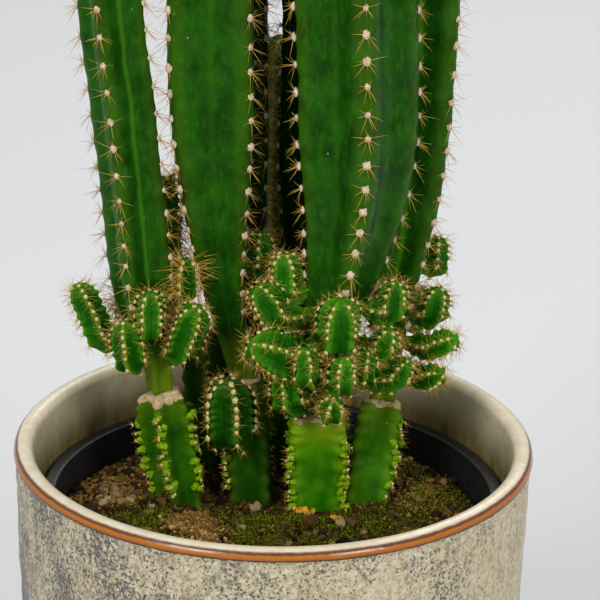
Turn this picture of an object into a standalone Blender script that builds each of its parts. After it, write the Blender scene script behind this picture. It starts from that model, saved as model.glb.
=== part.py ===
"""Tall ribbed cactus in a glazed stoneware cover pot.

Old cut stumps stand in the soil of a plastic nursery pot, which stands loose inside the cover pot.
Each stump carries tall four-angled columns, and short offsets crowd round the columns' feet.
Metres, +Z up. The origin is the centre of the cover pot's underside. Azimuths run anticlockwise from +X.
"""

import math

import bmesh
import bpy
from mathutils import Vector
from mathutils.bvhtree import BVHTree

MM = 0.001

# Gap between pieces that touch.
CLEARANCE = 0.3 * MM

# Cover pot.
POT_HEIGHT = 140 * MM
POT_RIM_RADIUS = 77.5 * MM
POT_BASE_RADIUS = POT_RIM_RADIUS - 3 * MM
POT_RIM_WIDTH = 6 * MM
POT_WALL = 5.2 * MM
POT_FLOOR = 7 * MM
POT_BASE_ROUNDING = 6 * MM
RIM_BAND_HEIGHT = 0.8 * MM
RIM_BAND_PROUD = 0.5 * MM
FOOT_RING_WIDTH = 7 * MM
FOOT_RING_DEPTH = 1.6 * MM
POT_SEGMENTS = 44
POT_BASE_STEPS, POT_RIM_STEPS, POT_COVE_STEPS = 4, 6, 3

# Nursery pot: a thin plastic pot with a flanged lip, standing on the cover pot's floor.
LIP_GAP = 1.6 * MM
LIP_BELOW_RIM = 18 * MM
LIP_WIDTH = 2.6 * MM
LIP_HEIGHT = 4 * MM
NURSERY_WALL = 1.4 * MM
NURSERY_TAPER = 11 * MM
NURSERY_BASE_ROUNDING = 4 * MM
DRAIN_HOLE_RADIUS = 4.5 * MM
DRAIN_HOLE_CIRCLE = 34 * MM
DRAIN_HOLES = 6
DRAIN_HOLE_SIDES = 12
CUTTER_OVERSHOOT = 2 * MM

# The plant's tables are drawn for a pot with this rim radius, and its plan and girth spread with the pot.
DRAWN_RIM_RADIUS = 77.5 * MM
WIDE = MM * POT_RIM_RADIUS / DRAWN_RIM_RADIUS

# Soil.
SOIL_BELOW_LIP = 9.4 * MM
SOIL_FALL = 0.02
HOLLOW_DEPTH = 3.5 * MM
HOLLOW_PLACE = (-4 * WIDE, 24 * WIDE)
HOLLOW_WIDTH = 18 * WIDE
SOIL_EDGE_DROP = 1.5 * MM
SOIL_UNDULATION = 0.7 * MM
SOIL_WAVE_X, SOIL_WAVE_Y, SOIL_WAVE_SHIFT = 11 * MM, 14 * MM, 0.6
SOIL_EDGE_POWER = 6
SOIL_RINGS = (1, 0.85, 0.68, 0.5, 0.32, 0.15)
STUMP_DEPTH = 16 * MM
SOCKET_GAP = 0.5 * MM

# Cross-section of the ribbed stems: a valley's radius over a rib's, and how sharp the ribs are.
VALLEY_SHARE = 0.62
RIB_SHARPNESS = 3.0
OFFSET_VALLEY_SHARE = 0.74
COLUMN_RIBS = 4
DOME_LENGTH = 1.15
SWELL_RINGS = 4
BODY_RINGS = 4
COLUMN_DOME_RINGS = 3
ROUTE_STEPS = 60
CURVE_STEPS = 12
SLOPE_SAMPLE = 0.02
STEM_STEPS = 4

# Offsets: the foot's radius over the full one, and where along its length one is full.
OFFSET_NECK = 0.42
OFFSET_SWELL = 0.36
OFFSET_RIBS = 5
OFFSET_STEPS = 2
OFFSET_DOME_RINGS = 2
OFFSET_BODY_GAP = 0.05
RAY_START = 80 * MM
SEAT_SAMPLES = 16
SEAT_RINGS = (0.25, 0.5, 0.75, 1)

SHARP_ANGLE = math.radians(40)

# Materials: colour and roughness.
CREAM_GLAZE = ((0.62, 0.55, 0.43), 0.45)
BLACK_PLASTIC = ((0.02, 0.02, 0.02), 0.5)
DARK_SOIL = ((0.09, 0.055, 0.03), 0.95)
OLD_SKIN = ((0.10, 0.24, 0.04), 0.5)
COLUMN_SKIN = ((0.03, 0.20, 0.035), 0.4)
OFFSET_SKIN = ((0.06, 0.27, 0.04), 0.45)

# Lengths in the tables are millimetres, and heights are above the cover pot's rim.
# Stumps: place at soil level, place of the top, rib radius low and high, rib count, first rib's azimuth.
STUMPS = {
    "stump_left": dict(foot=(-28.5, 10.5), top=(-35, 14, 7.5), radii=(6.4, 8.4), ribs=5, turn=262),
    "stump_mid_left": dict(foot=(-7, 18), top=(-10, 25, 8), radii=(8.4, 8.6), ribs=4, turn=45),
    "stump_centre": dict(foot=(13.6, 13), top=(13.2, 13, 2), radii=(10.6, 11.4), ribs=4, turn=45),
    "stump_right": dict(foot=(29.2, 15), top=(33, 24, 2), radii=(8.2, 9), ribs=4, turn=40),
    "stump_back": dict(foot=(0, 45), top=(1, 47, 6), radii=(10, 12.5), ribs=5, turn=90),
    "stump_back_left": dict(foot=(-19.5, 38), top=(-22, 40, 20), radii=(8.2, 8.8), ribs=5, turn=270),
}
CALLUS_SHARE = 0.62
SHOULDER = 7 * MM

# Columns: stump, foot's distance from the stump's centre, the centre line above it, rib radius,
# foot radius, height over which the column swells, and the azimuth of one rib.
COLUMNS = {
    "column_left": dict(
        stump="stump_left", shift=(0, 0), radius=9.9, foot=4.2, swell=44, turn=254,
        line=[(-36.5, 14, 20), (-40, 14, 35), (-42.5, 14, 63), (-46, 14, 99), (-49.2, 14, 129),
              (-55, 14, 212)],
    ),
    "column_mid_left": dict(
        stump="stump_mid_left", shift=(0, 0), radius=16.2, foot=5.2, swell=92, turn=45,
        line=[(-13.5, 25, 23), (-16.7, 25, 42), (-18.6, 25, 66), (-20.2, 25, 100), (-20.8, 25, 128),
              (-22, 26, 248)],
    ),
    "column_back_left": dict(
        stump="stump_back", shift=(-6.3, 0), radius=10.8, foot=4.0, swell=70, turn=45,
        line=[(-8, 48.5, 25), (-11.5, 51, 60), (-12.8, 52, 110), (-14, 54, 222)],
    ),
    "column_centre": dict(
        stump="stump_centre", shift=(0, 0), radius=17.6, foot=5.4, swell=96, turn=278,
        line=[(14.2, 13, 18), (17.2, 13, 36), (20.2, 13, 53), (22.6, 13, 74), (22.6, 13, 101),
              (21.2, 13, 130), (19, 13.5, 190), (17.5, 14, 268)],
    ),
    "column_back_right": dict(
        stump="stump_back", shift=(6.3, 0), radius=11.8, foot=4.0, swell=70, turn=0,
        line=[(8.5, 48.5, 25), (11, 50.5, 60), (11.6, 51, 110), (11, 53, 198)],
    ),
    "column_right": dict(
        stump="stump_right", shift=(0, 0), radius=14.8, foot=5.0, swell=86, turn=45,
        line=[(34.5, 28, 20), (36.5, 34, 42), (38.6, 38, 66), (40, 39.5, 96), (41, 40, 125),
              (42.5, 41, 232)],
    ),
}

# Offsets: parent, height of the seat, azimuth, distance straight out of the skin, rise above level,
# length after the turn, radius. Angles are degrees.
OFFSETS = {
    "offset_left_1": ("column_left", 25, 184, 8, 66, 19, 3.9),
    "offset_left_2": ("column_left", 20, 228, 5, 78, 14, 3.9),
    "offset_left_3": ("column_left", 31, 280, 4.2, 84, 13, 3.5),
    "offset_left_4": ("column_left", 23, 324, 5, 66, 18, 4.3),
    "offset_left_5": ("column_left", 39, 8, 4.6, 84, 11, 3.8),
    "offset_left_6": ("column_left", 23, 80, 8, 87, 48, 4.1),
    "offset_left_7": ("column_left", 24, 124, 5, 66, 13, 4.0),
    "offset_middle": ("stump_mid_left", -4, 252, 6.6, 84, 19, 5.9),
    "offset_centre_1": ("column_mid_left", 44, 14, 4, 86, 11, 3.6),
    "offset_centre_2": ("column_centre", 42, 188, 5.2, 84, 12, 4.2),
    "offset_centre_3": ("column_centre", 35, 200, 9, 58, 13, 4.3),
    "offset_centre_4": ("column_centre", 24.5, 219, 11, 28, 14, 5.4),
    "offset_centre_5": ("column_centre", 19, 252, 10, 78, 11, 3.2),
    "offset_centre_6": ("column_centre", 9, 226, 9, 74, 11, 3.8),
    "offset_centre_7": ("column_centre", 7, 284, 8, 60, 8, 2.8),
    "offset_centre_8": ("column_centre", 33, 276, 8, 76, 14, 5.2),
    "offset_centre_9": ("column_centre", 18, 288, 11, 80, 10, 3.2),
    "offset_centre_10": ("column_centre", 19, 316, 10, 74, 9, 3.1),
    "offset_centre_11": ("column_centre", 37, 345, 9, 80, 10, 3.6),
    "offset_centre_12": ("column_centre", 26, 333, 12, 66, 8, 3.3),
    "offset_centre_13": ("column_centre", 15, 349, 15, 50, 9, 3.3),
    "offset_right_1": ("column_right", 41, 20, 5, 86, 10, 3.0),
    "offset_right_2": ("column_right", 30, 332, 6.4, 74, 10, 3.7),
    "offset_right_3": ("column_right", 21, 326, 8.4, 30, 11, 3.5),
    "offset_right_4": ("column_right", 13, 316, 9.5, 25, 9, 3.2),
    "offset_right_5": ("column_right", 20, 98, 4.8, 68, 13, 4.0),
    "offset_right_6": ("column_right", 23, 50, 4.8, 64, 11, 3.8),
    "offset_back_1": ("column_back_left", 22, 135, 4.8, 66, 14, 4.1),
    "offset_back_2": ("column_back_right", 21, 48, 4.8, 66, 13, 4.1),
    "offset_back_4": ("column_back_left", 18, 70, 13.5, 88, 88, 5.2),
    "offset_back_3": ("column_back_right", 14, 100, 4.8, 50, 10, 3.8),
}


def clear_scene():
    for item in list(bpy.data.objects):
        bpy.data.objects.remove(item, do_unlink=True)


def place(x, y, above_rim):
    """A point of the plant, from a table's plan position and height."""
    return Vector((x * WIDE, y * WIDE, POT_HEIGHT + above_rim * MM))


def circle(radius, steps, x=0.0, y=0.0):
    turns = [2 * math.pi * i / steps for i in range(steps)]
    return [(x + radius * math.cos(turn), y + radius * math.sin(turn)) for turn in turns]


def skin(name, colour, roughness):
    """A plain Principled material."""
    material = bpy.data.materials.new(name)
    material.use_nodes = True
    shader = material.node_tree.nodes["Principled BSDF"]
    shader.inputs["Base Color"].default_value = (*colour, 1.0)
    shader.inputs["Roughness"].default_value = roughness
    return material


def loft(name, rings, material, start_pole=None, end_pole=None):
    """One closed body through rings of equal length. Each end is a pole point or a flat cap."""
    bm = bmesh.new()
    loops = [[bm.verts.new(point) for point in ring] for ring in rings]
    for lower, upper in zip(loops, loops[1:]):
        for i in range(len(lower)):
            j = (i + 1) % len(lower)
            bm.faces.new((lower[i], lower[j], upper[j], upper[i]))
    for loop, pole in ((loops[0], start_pole), (loops[-1], end_pole)):
        if pole is None:
            bm.faces.new(loop)
            continue
        tip = bm.verts.new(pole)
        for i in range(len(loop)):
            bm.faces.new((loop[i], loop[(i + 1) % len(loop)], tip))
    bmesh.ops.recalc_face_normals(bm, faces=bm.faces[:])
    mesh = bpy.data.meshes.new(name)
    bm.to_mesh(mesh)
    bm.free()
    mesh.shade_smooth()
    mesh.set_sharp_from_angle(angle=SHARP_ANGLE)
    mesh.materials.append(material)
    item = bpy.data.objects.new(name, mesh)
    bpy.context.collection.objects.link(item)
    return item


def turned(name, profile, material):
    """A body turned about Z from a profile of (radius, height) that starts and ends on the axis."""
    rings = [[(x, y, z) for x, y in circle(r, POT_SEGMENTS)] for r, z in profile[1:-1]]
    return loft(name, rings, material, (0, 0, profile[0][1]), (0, 0, profile[-1][1]))


def arc(centre, radius, start, end, steps):
    """Points of a circular arc in the (radius, height) plane, angles in degrees from +radius."""
    angles = [math.radians(start + (end - start) * i / steps) for i in range(steps + 1)]
    return [(centre[0] + radius * math.cos(a), centre[1] + radius * math.sin(a)) for a in angles]


def cut(item, cutter):
    """Takes the cutter out of the item, and leaves the cutter as a hidden helper."""
    cutter.hide_render = True
    cutter.display_type = "WIRE"
    boolean = item.modifiers.new("cut_" + cutter.name, "BOOLEAN")
    boolean.operation = "DIFFERENCE"
    boolean.solver = "EXACT"
    boolean.object = cutter


def pot_inner_radius(height):
    """The cover pot's inner wall, straight from just under the rim down to the floor."""
    share = height / POT_HEIGHT
    outer = POT_BASE_RADIUS + (POT_RIM_RADIUS - POT_BASE_RADIUS) * share
    return outer - POT_WALL - (POT_RIM_WIDTH - POT_WALL) * share


def lip_height():
    return POT_HEIGHT - LIP_BELOW_RIM


def lip_radius():
    return pot_inner_radius(lip_height()) - LIP_GAP


def soil_height(x, y):
    """The soil's surface: it falls to the right, sinks at the edge and among the stumps, and undulates."""
    edge = min(1.0, math.hypot(x, y) / (lip_radius() - LIP_WIDTH)) ** SOIL_EDGE_POWER
    wave = math.sin(x / SOIL_WAVE_X) * math.cos(y / SOIL_WAVE_Y + SOIL_WAVE_SHIFT)
    away = math.hypot(x - HOLLOW_PLACE[0], y - HOLLOW_PLACE[1]) / HOLLOW_WIDTH
    level = lip_height() - SOIL_BELOW_LIP - HOLLOW_DEPTH * math.exp(-away * away)
    return level - SOIL_FALL * x - SOIL_EDGE_DROP * edge + SOIL_UNDULATION * wave


def make_cover_pot(glaze):
    rim_top = POT_RIM_WIDTH / 2
    band_low = POT_HEIGHT - rim_top - RIM_BAND_HEIGHT
    band_radius = POT_RIM_RADIUS - RIM_BAND_PROUD
    rim_centre = (POT_RIM_RADIUS - rim_top, POT_HEIGHT - rim_top)
    base_centre = (POT_BASE_RADIUS - POT_BASE_ROUNDING, POT_BASE_ROUNDING)
    foot_outer = POT_BASE_RADIUS - POT_BASE_ROUNDING
    foot_inner = foot_outer - FOOT_RING_WIDTH
    cove = POT_BASE_ROUNDING
    floor_radius = pot_inner_radius(POT_FLOOR)
    profile = [(0, FOOT_RING_DEPTH), (foot_inner - FOOT_RING_DEPTH, FOOT_RING_DEPTH), (foot_inner, 0)]
    profile += arc(base_centre, POT_BASE_ROUNDING, -90, 0, POT_BASE_STEPS)
    profile += [(band_radius, band_low), (POT_RIM_RADIUS, band_low + RIM_BAND_PROUD)]
    profile += arc(rim_centre, rim_top, 0, 180, POT_RIM_STEPS)
    profile += arc((floor_radius - cove, POT_FLOOR + cove), cove, 0, -90, POT_COVE_STEPS)
    profile += [(0, POT_FLOOR)]
    turned("cover_pot", profile, glaze)


def make_nursery_pot(plastic):
    bottom = POT_FLOOR + CLEARANCE
    top = lip_height()
    outer = lip_radius()
    wall_top = outer - LIP_WIDTH
    base = wall_top - NURSERY_TAPER
    rounding = NURSERY_BASE_ROUNDING
    inner_rounding = rounding - NURSERY_WALL
    inner_centre = (base - rounding, bottom + rounding)
    profile = [(0, bottom)]
    profile += arc((base - rounding, bottom + rounding), rounding, -90, 0, POT_COVE_STEPS)
    profile += [(wall_top, top - LIP_HEIGHT), (outer, top - LIP_HEIGHT), (outer, top)]
    profile += [(wall_top - NURSERY_WALL, top)]
    profile += arc(inner_centre, inner_rounding, 0, -90, POT_COVE_STEPS)
    profile += [(0, bottom + NURSERY_WALL)]
    pot = turned("nursery_pot", profile, plastic)
    ends = (bottom - CUTTER_OVERSHOOT, bottom + NURSERY_WALL + CUTTER_OVERSHOOT)
    for i in range(DRAIN_HOLES):
        # Half a pot segment round, so that a hole's corners miss the floor's edges.
        middle = 2 * math.pi * i / DRAIN_HOLES + math.pi / POT_SEGMENTS
        x, y = DRAIN_HOLE_CIRCLE * math.cos(middle), DRAIN_HOLE_CIRCLE * math.sin(middle)
        hole = circle(DRAIN_HOLE_RADIUS, DRAIN_HOLE_SIDES, x, y)
        rings = [[(px, py, z) for px, py in hole] for z in ends]
        cut(pot, loft(f"drain_hole_cutter_{i + 1}", rings, plastic))


def make_soil(earth):
    bottom = POT_FLOOR + CLEARANCE + NURSERY_WALL + CLEARANCE
    top_radius = lip_radius() - LIP_WIDTH - NURSERY_WALL
    base_radius = top_radius - NURSERY_TAPER
    rounding = NURSERY_BASE_ROUNDING
    wall_slope = NURSERY_TAPER / (lip_height() - bottom)
    level = lip_height() - SOIL_BELOW_LIP
    gap = 2 * CLEARANCE
    edge = top_radius - wall_slope * (lip_height() - level) - gap
    sides = [(base_radius - gap - rounding, bottom), (base_radius - gap, bottom + rounding)]
    rings = [[(x, y, z) for x, y in circle(r, POT_SEGMENTS)] for r, z in sides]
    for share in SOIL_RINGS:
        rings.append([(x, y, soil_height(x, y)) for x, y in circle(edge * share, POT_SEGMENTS)])
    return loft("soil", rings, earth, (0, 0, bottom), (0, 0, soil_height(0, 0)))


def smooth_route(points, steps):
    """Evenly spaced points on a Catmull-Rom curve through the given ones."""
    padded = [2 * points[0] - points[1], *points, 2 * points[-1] - points[-2]]
    dense = []
    for p0, p1, p2, p3 in zip(padded, padded[1:], padded[2:], padded[3:]):
        for i in range(CURVE_STEPS):
            t = i / CURVE_STEPS
            a = 2 * p1 + (p2 - p0) * t
            b = (2 * p0 - 5 * p1 + 4 * p2 - p3) * t * t
            c = (3 * p1 - p0 - 3 * p2 + p3) * t * t * t
            dense.append(0.5 * (a + b + c))
    dense.append(points[-1])
    lengths = [0.0]
    for a, b in zip(dense, dense[1:]):
        lengths.append(lengths[-1] + (b - a).length)
    route = []
    for i in range(steps + 1):
        wanted = lengths[-1] * i / steps
        k = max(1, next((n for n, s in enumerate(lengths) if s >= wanted), len(lengths) - 1))
        span = lengths[k] - lengths[k - 1]
        route.append(dense[k - 1].lerp(dense[k], (wanted - lengths[k - 1]) / span))
    return route


def along(route, share):
    spot = share * (len(route) - 1)
    k = min(int(spot), len(route) - 2)
    return route[k].lerp(route[k + 1], spot - k)


def ease(value):
    value = max(0.0, min(1.0, value))
    return value * value * (3 - 2 * value)


def ribbed(name, points, radius_at, shares, section, material, level_ends=False):
    """A ribbed stem along a smooth route.

    radius_at gives the rib radius at a share of the length, and shares are where the rings lie.
    section is (rib count, azimuth of one rib, valley share, points from rib to rib).
    level_ends keeps a ring at either end level, and leaves a stem's own slope to the others.
    """
    ribs, turn, valley, steps = section
    route = smooth_route(points, ROUTE_STEPS)
    up = Vector((0, 0, 1))
    before = up if level_ends else (route[1] - route[0]).normalized()
    out = Vector((math.cos(turn), math.sin(turn), 0)) if level_ends else up
    out = (out - before * out.dot(before)).normalized()
    rings = []
    for share in shares:
        lower = along(route, max(0, share - SLOPE_SAMPLE))
        upper = along(route, min(1, share + SLOPE_SAMPLE))
        ahead = up if level_ends and share in (0, 1) else (upper - lower).normalized()
        out = before.rotation_difference(ahead) @ out
        side = ahead.cross(out)
        before = ahead
        centre = along(route, share)
        ring = []
        for i in range(ribs * steps):
            angle = 2 * math.pi * i / (ribs * steps)
            crest = abs(math.cos(ribs * angle / 2)) ** RIB_SHARPNESS
            r = radius_at(share) * (valley + (1 - valley) * crest)
            ring.append(centre + r * (math.cos(angle) * out + math.sin(angle) * side))
        rings.append(ring)
    return loft(name, rings, material, None, route[-1])


def dome(share, start):
    """Width of a rounded tip that begins at the given share of the length."""
    if share <= start:
        return 1.0
    return math.sqrt(max(0.0, 1 - ((share - start) / (1 - start)) ** 2))


def dome_shares(start, count):
    """Places of a dome's rings, closer together towards the tip, which is a point of its own."""
    turns = [math.radians(90 * i / (count + 1)) for i in range(1, count + 1)]
    return [start + (1 - start) * math.sin(turn) for turn in turns]


def make_stump(name, spec, material, gap=0.0):
    """A ribbed stump, rooted in the soil, with a rounded shoulder and a flat callus.

    gap widens it, which makes the cutter for its socket.
    """
    x, y = (value * WIDE for value in spec["foot"])
    foot = Vector((x, y, soil_height(x, y)))
    top = place(*spec["top"])
    buried = foot - Vector((0, 0, STUMP_DEPTH + gap))
    points = [buried, foot, foot.lerp(top, 0.5), top]
    shoulder = 1 - SHOULDER / (top - buried).length
    low, high = (value * WIDE + gap for value in spec["radii"])

    def radius_at(share):
        body = low + (high - low) * ease(share / shoulder)
        drop = max(0.0, share - shoulder) / (1 - shoulder)
        return body * (CALLUS_SHARE + (1 - CALLUS_SHARE) * math.sqrt(max(0.0, 1 - drop * drop)))

    shares = [0, shoulder / 3, shoulder * 2 / 3, shoulder, (shoulder + 1) / 2, 1]
    section = (spec["ribs"], math.radians(spec["turn"]), VALLEY_SHARE, STEM_STEPS)
    return ribbed(name, points, radius_at, shares, section, material, level_ends=True), points


def make_column(name, spec, material):
    """A tall column that rises from a narrow foot on its stump's callus."""
    top = place(*STUMPS[spec["stump"]]["top"])
    foot = top + Vector((spec["shift"][0] * WIDE, spec["shift"][1] * WIDE, CLEARANCE))
    points = [foot, *(place(*spot) for spot in spec["line"])]
    length = sum((b - a).length for a, b in zip(points, points[1:]))
    radius, neck = spec["radius"] * WIDE, spec["foot"] * WIDE
    swell = spec["swell"] * MM / length
    start = 1 - DOME_LENGTH * radius / length

    def radius_at(share):
        return (neck + (radius - neck) * ease(share / swell)) * dome(share, start)

    shares = [swell * i / SWELL_RINGS for i in range(SWELL_RINGS)]
    shares += [swell + (start - swell) * i / BODY_RINGS for i in range(BODY_RINGS + 1)]
    shares += dome_shares(start, COLUMN_DOME_RINGS)
    section = (COLUMN_RIBS, math.radians(spec["turn"]), VALLEY_SHARE, STEM_STEPS)
    return ribbed(name, points, radius_at, shares, section, material, level_ends=True), points


def seat(parent, axis, height, azimuth, reach):
    """Where a round foot of radius reach meets the parent's skin, and the direction straight out of it."""
    k = next(i for i in range(1, len(axis)) if axis[i].z >= height or i == len(axis) - 1)
    share = (height - axis[k - 1].z) / (axis[k].z - axis[k - 1].z)
    centre = axis[k - 1].lerp(axis[k], share)
    out = Vector((math.cos(azimuth), math.sin(azimuth), 0))
    side = Vector((-out.y, out.x, 0))
    up = Vector((0, 0, 1))
    mesh = parent.data
    tree = BVHTree.FromPolygons([v.co for v in mesh.vertices], [p.vertices for p in mesh.polygons])
    turns = [2 * math.pi * i / SEAT_SAMPLES for i in range(SEAT_SAMPLES)]
    around = [math.cos(turn) * side + math.sin(turn) * up for turn in turns]
    spots = [Vector()] + [reach * share * spoke for share in SEAT_RINGS for spoke in around]
    skins = []
    for spot in spots:
        hit = tree.ray_cast(centre + spot + out * RAY_START, -out)[0]
        if hit is not None:
            skins.append((hit - centre).dot(out))
    return centre + out * (max(skins) + CLEARANCE), out


def make_offset(name, spec, parent, axis, material):
    """A short ribbed shoot that comes straight out of its parent's skin, then turns to its own slope."""
    above_rim, azimuth, reach, rise, length, radius = spec[1:]
    reach, length, radius = reach * WIDE, length * WIDE, radius * WIDE
    azimuth, rise = math.radians(azimuth), math.radians(rise)
    foot, out = seat(parent, axis, POT_HEIGHT + above_rim * MM, azimuth, radius * OFFSET_NECK)
    slope = out * math.cos(rise) + Vector((0, 0, math.sin(rise)))
    elbow = foot + out * reach
    points = [foot, elbow, elbow + slope * length / 2, elbow + slope * length]
    start = 1 - DOME_LENGTH * radius / (length + reach)

    def radius_at(share):
        return radius * (OFFSET_NECK + (1 - OFFSET_NECK) * ease(share / OFFSET_SWELL)) * dome(share, start)

    body = max(start, OFFSET_SWELL + OFFSET_BODY_GAP)
    shares = [0, OFFSET_SWELL / 2, OFFSET_SWELL, body] + dome_shares(body, OFFSET_DOME_RINGS)
    section = (OFFSET_RIBS, 0, OFFSET_VALLEY_SHARE, OFFSET_STEPS)
    ribbed(name, points, radius_at, shares, section, material)


def main():
    clear_scene()
    glaze = skin("cream_glaze", *CREAM_GLAZE)
    plastic = skin("black_plastic", *BLACK_PLASTIC)
    earth = skin("dark_soil", *DARK_SOIL)
    old_skin = skin("old_skin", *OLD_SKIN)
    column_skin = skin("column_skin", *COLUMN_SKIN)
    offset_skin = skin("offset_skin", *OFFSET_SKIN)
    make_cover_pot(glaze)
    make_nursery_pot(plastic)
    soil = make_soil(earth)
    stems = {}
    for name, spec in STUMPS.items():
        stems[name] = make_stump(name, spec, old_skin)
        cut(soil, make_stump(name + "_socket_cutter", spec, old_skin, SOCKET_GAP)[0])
    for name, spec in COLUMNS.items():
        stems[name] = make_column(name, spec, column_skin)
    for name, spec in OFFSETS.items():
        parent, axis = stems[spec[0]]
        make_offset(name, spec, parent, axis, offset_skin)


main()
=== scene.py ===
"""Tall ribbed cactus in a glazed stoneware cover pot: the visual model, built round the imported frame.

Metres, +Z up. The origin is the centre of the cover pot's underside. Azimuths run anticlockwise from +X.
The tables and sizes below are the CAD's own, so each piece lies where its CAD node lies.
"""

import math

import bpy
import numpy as np
from mathutils import Matrix, Vector, noise
from mathutils.bvhtree import BVHTree


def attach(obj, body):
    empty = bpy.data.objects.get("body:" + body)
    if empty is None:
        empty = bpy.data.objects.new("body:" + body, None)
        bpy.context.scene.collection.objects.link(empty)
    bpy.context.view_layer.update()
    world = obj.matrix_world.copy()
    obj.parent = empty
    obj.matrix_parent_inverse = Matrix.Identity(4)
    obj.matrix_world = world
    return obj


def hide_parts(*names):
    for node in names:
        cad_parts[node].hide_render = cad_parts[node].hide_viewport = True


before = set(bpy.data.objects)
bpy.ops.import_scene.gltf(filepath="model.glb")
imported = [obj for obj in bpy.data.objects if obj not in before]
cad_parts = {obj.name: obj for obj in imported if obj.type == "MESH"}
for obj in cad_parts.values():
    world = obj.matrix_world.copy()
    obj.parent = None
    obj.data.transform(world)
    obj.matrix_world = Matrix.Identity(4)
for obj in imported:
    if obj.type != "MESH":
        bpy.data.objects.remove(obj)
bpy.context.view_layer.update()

MM = 0.001
SEED = 2031
rng = np.random.default_rng(SEED)
# Without a seed, mathutils' noise_vector starts from the clock.
noise.seed_set(SEED)

# The CAD's sizes. Each has the CAD's name.
CLEARANCE = 0.3 * MM
POT_HEIGHT = 140 * MM
POT_RIM_RADIUS = 77.5 * MM
POT_BASE_RADIUS = 74.5 * MM
POT_RIM_WIDTH = 6 * MM
POT_WALL = 5.2 * MM
POT_FLOOR = 7 * MM
POT_BASE_ROUNDING = 6 * MM
RIM_BAND_HEIGHT = 0.8 * MM
RIM_BAND_PROUD = 0.5 * MM
FOOT_RING_WIDTH = 7 * MM
FOOT_RING_DEPTH = 1.6 * MM
LIP_GAP = 1.6 * MM
LIP_BELOW_RIM = 18 * MM
LIP_WIDTH = 2.6 * MM
LIP_HEIGHT = 4 * MM
NURSERY_WALL = 1.4 * MM
NURSERY_TAPER = 11 * MM
NURSERY_BASE_ROUNDING = 4 * MM
SOIL_BELOW_LIP = 9.4 * MM
SOIL_FALL = 0.02
HOLLOW_DEPTH = 3.5 * MM
HOLLOW_PLACE = (-4 * MM, 24 * MM)
HOLLOW_WIDTH = 18 * MM
SOIL_EDGE_DROP = 1.5 * MM
SOIL_UNDULATION = 0.7 * MM
STUMP_DEPTH = 16 * MM
VALLEY_SHARE = 0.62
COLUMN_RIBS = 4
OFFSET_RIBS = 5
DOME_LENGTH = 1.15
OFFSET_NECK = 0.42
OFFSET_SWELL = 0.36
RAY_START = 80 * MM
SEAT_SAMPLES = 16
CALLUS_SHARE = 0.62
SHOULDER = 7 * MM

# Lengths in these three tables are in millimetres, angles in degrees.
# Old stems: foot's plan position, top's centre, foot and top rib radii, number of ribs, azimuth of one rib.
STUMPS = {
    "stump_left": dict(foot=(-28.5, 10.5), top=(-35, 14, 147.5), radii=(6.4, 8.4), ribs=5, turn=262),
    "stump_mid_left": dict(foot=(-7, 18), top=(-10, 25, 148), radii=(8.4, 8.6), ribs=4, turn=45),
    "stump_centre": dict(foot=(13.6, 13), top=(13.2, 13, 142), radii=(10.6, 11.4), ribs=4, turn=45),
    "stump_right": dict(foot=(29.2, 15), top=(33, 24, 142), radii=(8.2, 9), ribs=4, turn=40),
    "stump_back": dict(foot=(0, 45), top=(1, 47, 146), radii=(10, 12.5), ribs=5, turn=90),
    "stump_back_left": dict(foot=(-19.5, 38), top=(-22, 40, 160), radii=(8.2, 8.8), ribs=5, turn=270),
}
# Columns: old stem below, foot's shift from its centre, rib radius, foot radius, length over which the
# column swells, azimuth of one rib, and the centre line above the foot.
COLUMNS = {
    "column_left": dict(
        stump="stump_left", shift=(0, 0), radius=9.9, foot=4.2, swell=44, turn=254,
        line=[(-36.5, 14, 160), (-40, 14, 175), (-42.5, 14, 203), (-46, 14, 239), (-49.2, 14, 269),
              (-55, 14, 352)],
    ),
    "column_mid_left": dict(
        stump="stump_mid_left", shift=(0, 0), radius=16.2, foot=5.2, swell=92, turn=45,
        line=[(-13.5, 25, 163), (-16.7, 25, 182), (-18.6, 25, 206), (-20.2, 25, 240), (-20.8, 25, 268),
              (-22, 26, 388)],
    ),
    "column_back_left": dict(
        stump="stump_back", shift=(-6.3, 0), radius=10.8, foot=4.0, swell=70, turn=45,
        line=[(-8, 48.5, 165), (-11.5, 51, 200), (-12.8, 52, 250), (-14, 54, 362)],
    ),
    "column_centre": dict(
        stump="stump_centre", shift=(0, 0), radius=17.6, foot=5.4, swell=96, turn=278,
        line=[(14.2, 13, 158), (17.2, 13, 176), (20.2, 13, 193), (22.6, 13, 214), (22.6, 13, 241),
              (21.2, 13, 270), (19, 13.5, 330), (17.5, 14, 408)],
    ),
    "column_back_right": dict(
        stump="stump_back", shift=(6.3, 0), radius=11.8, foot=4.0, swell=70, turn=0,
        line=[(8.5, 48.5, 165), (11, 50.5, 200), (11.6, 51, 250), (11, 53, 338)],
    ),
    "column_right": dict(
        stump="stump_right", shift=(0, 0), radius=14.8, foot=5.0, swell=86, turn=45,
        line=[(34.5, 28, 160), (36.5, 34, 182), (38.6, 38, 206), (40, 39.5, 236), (41, 40, 265),
              (42.5, 41, 372)],
    ),
}
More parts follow.
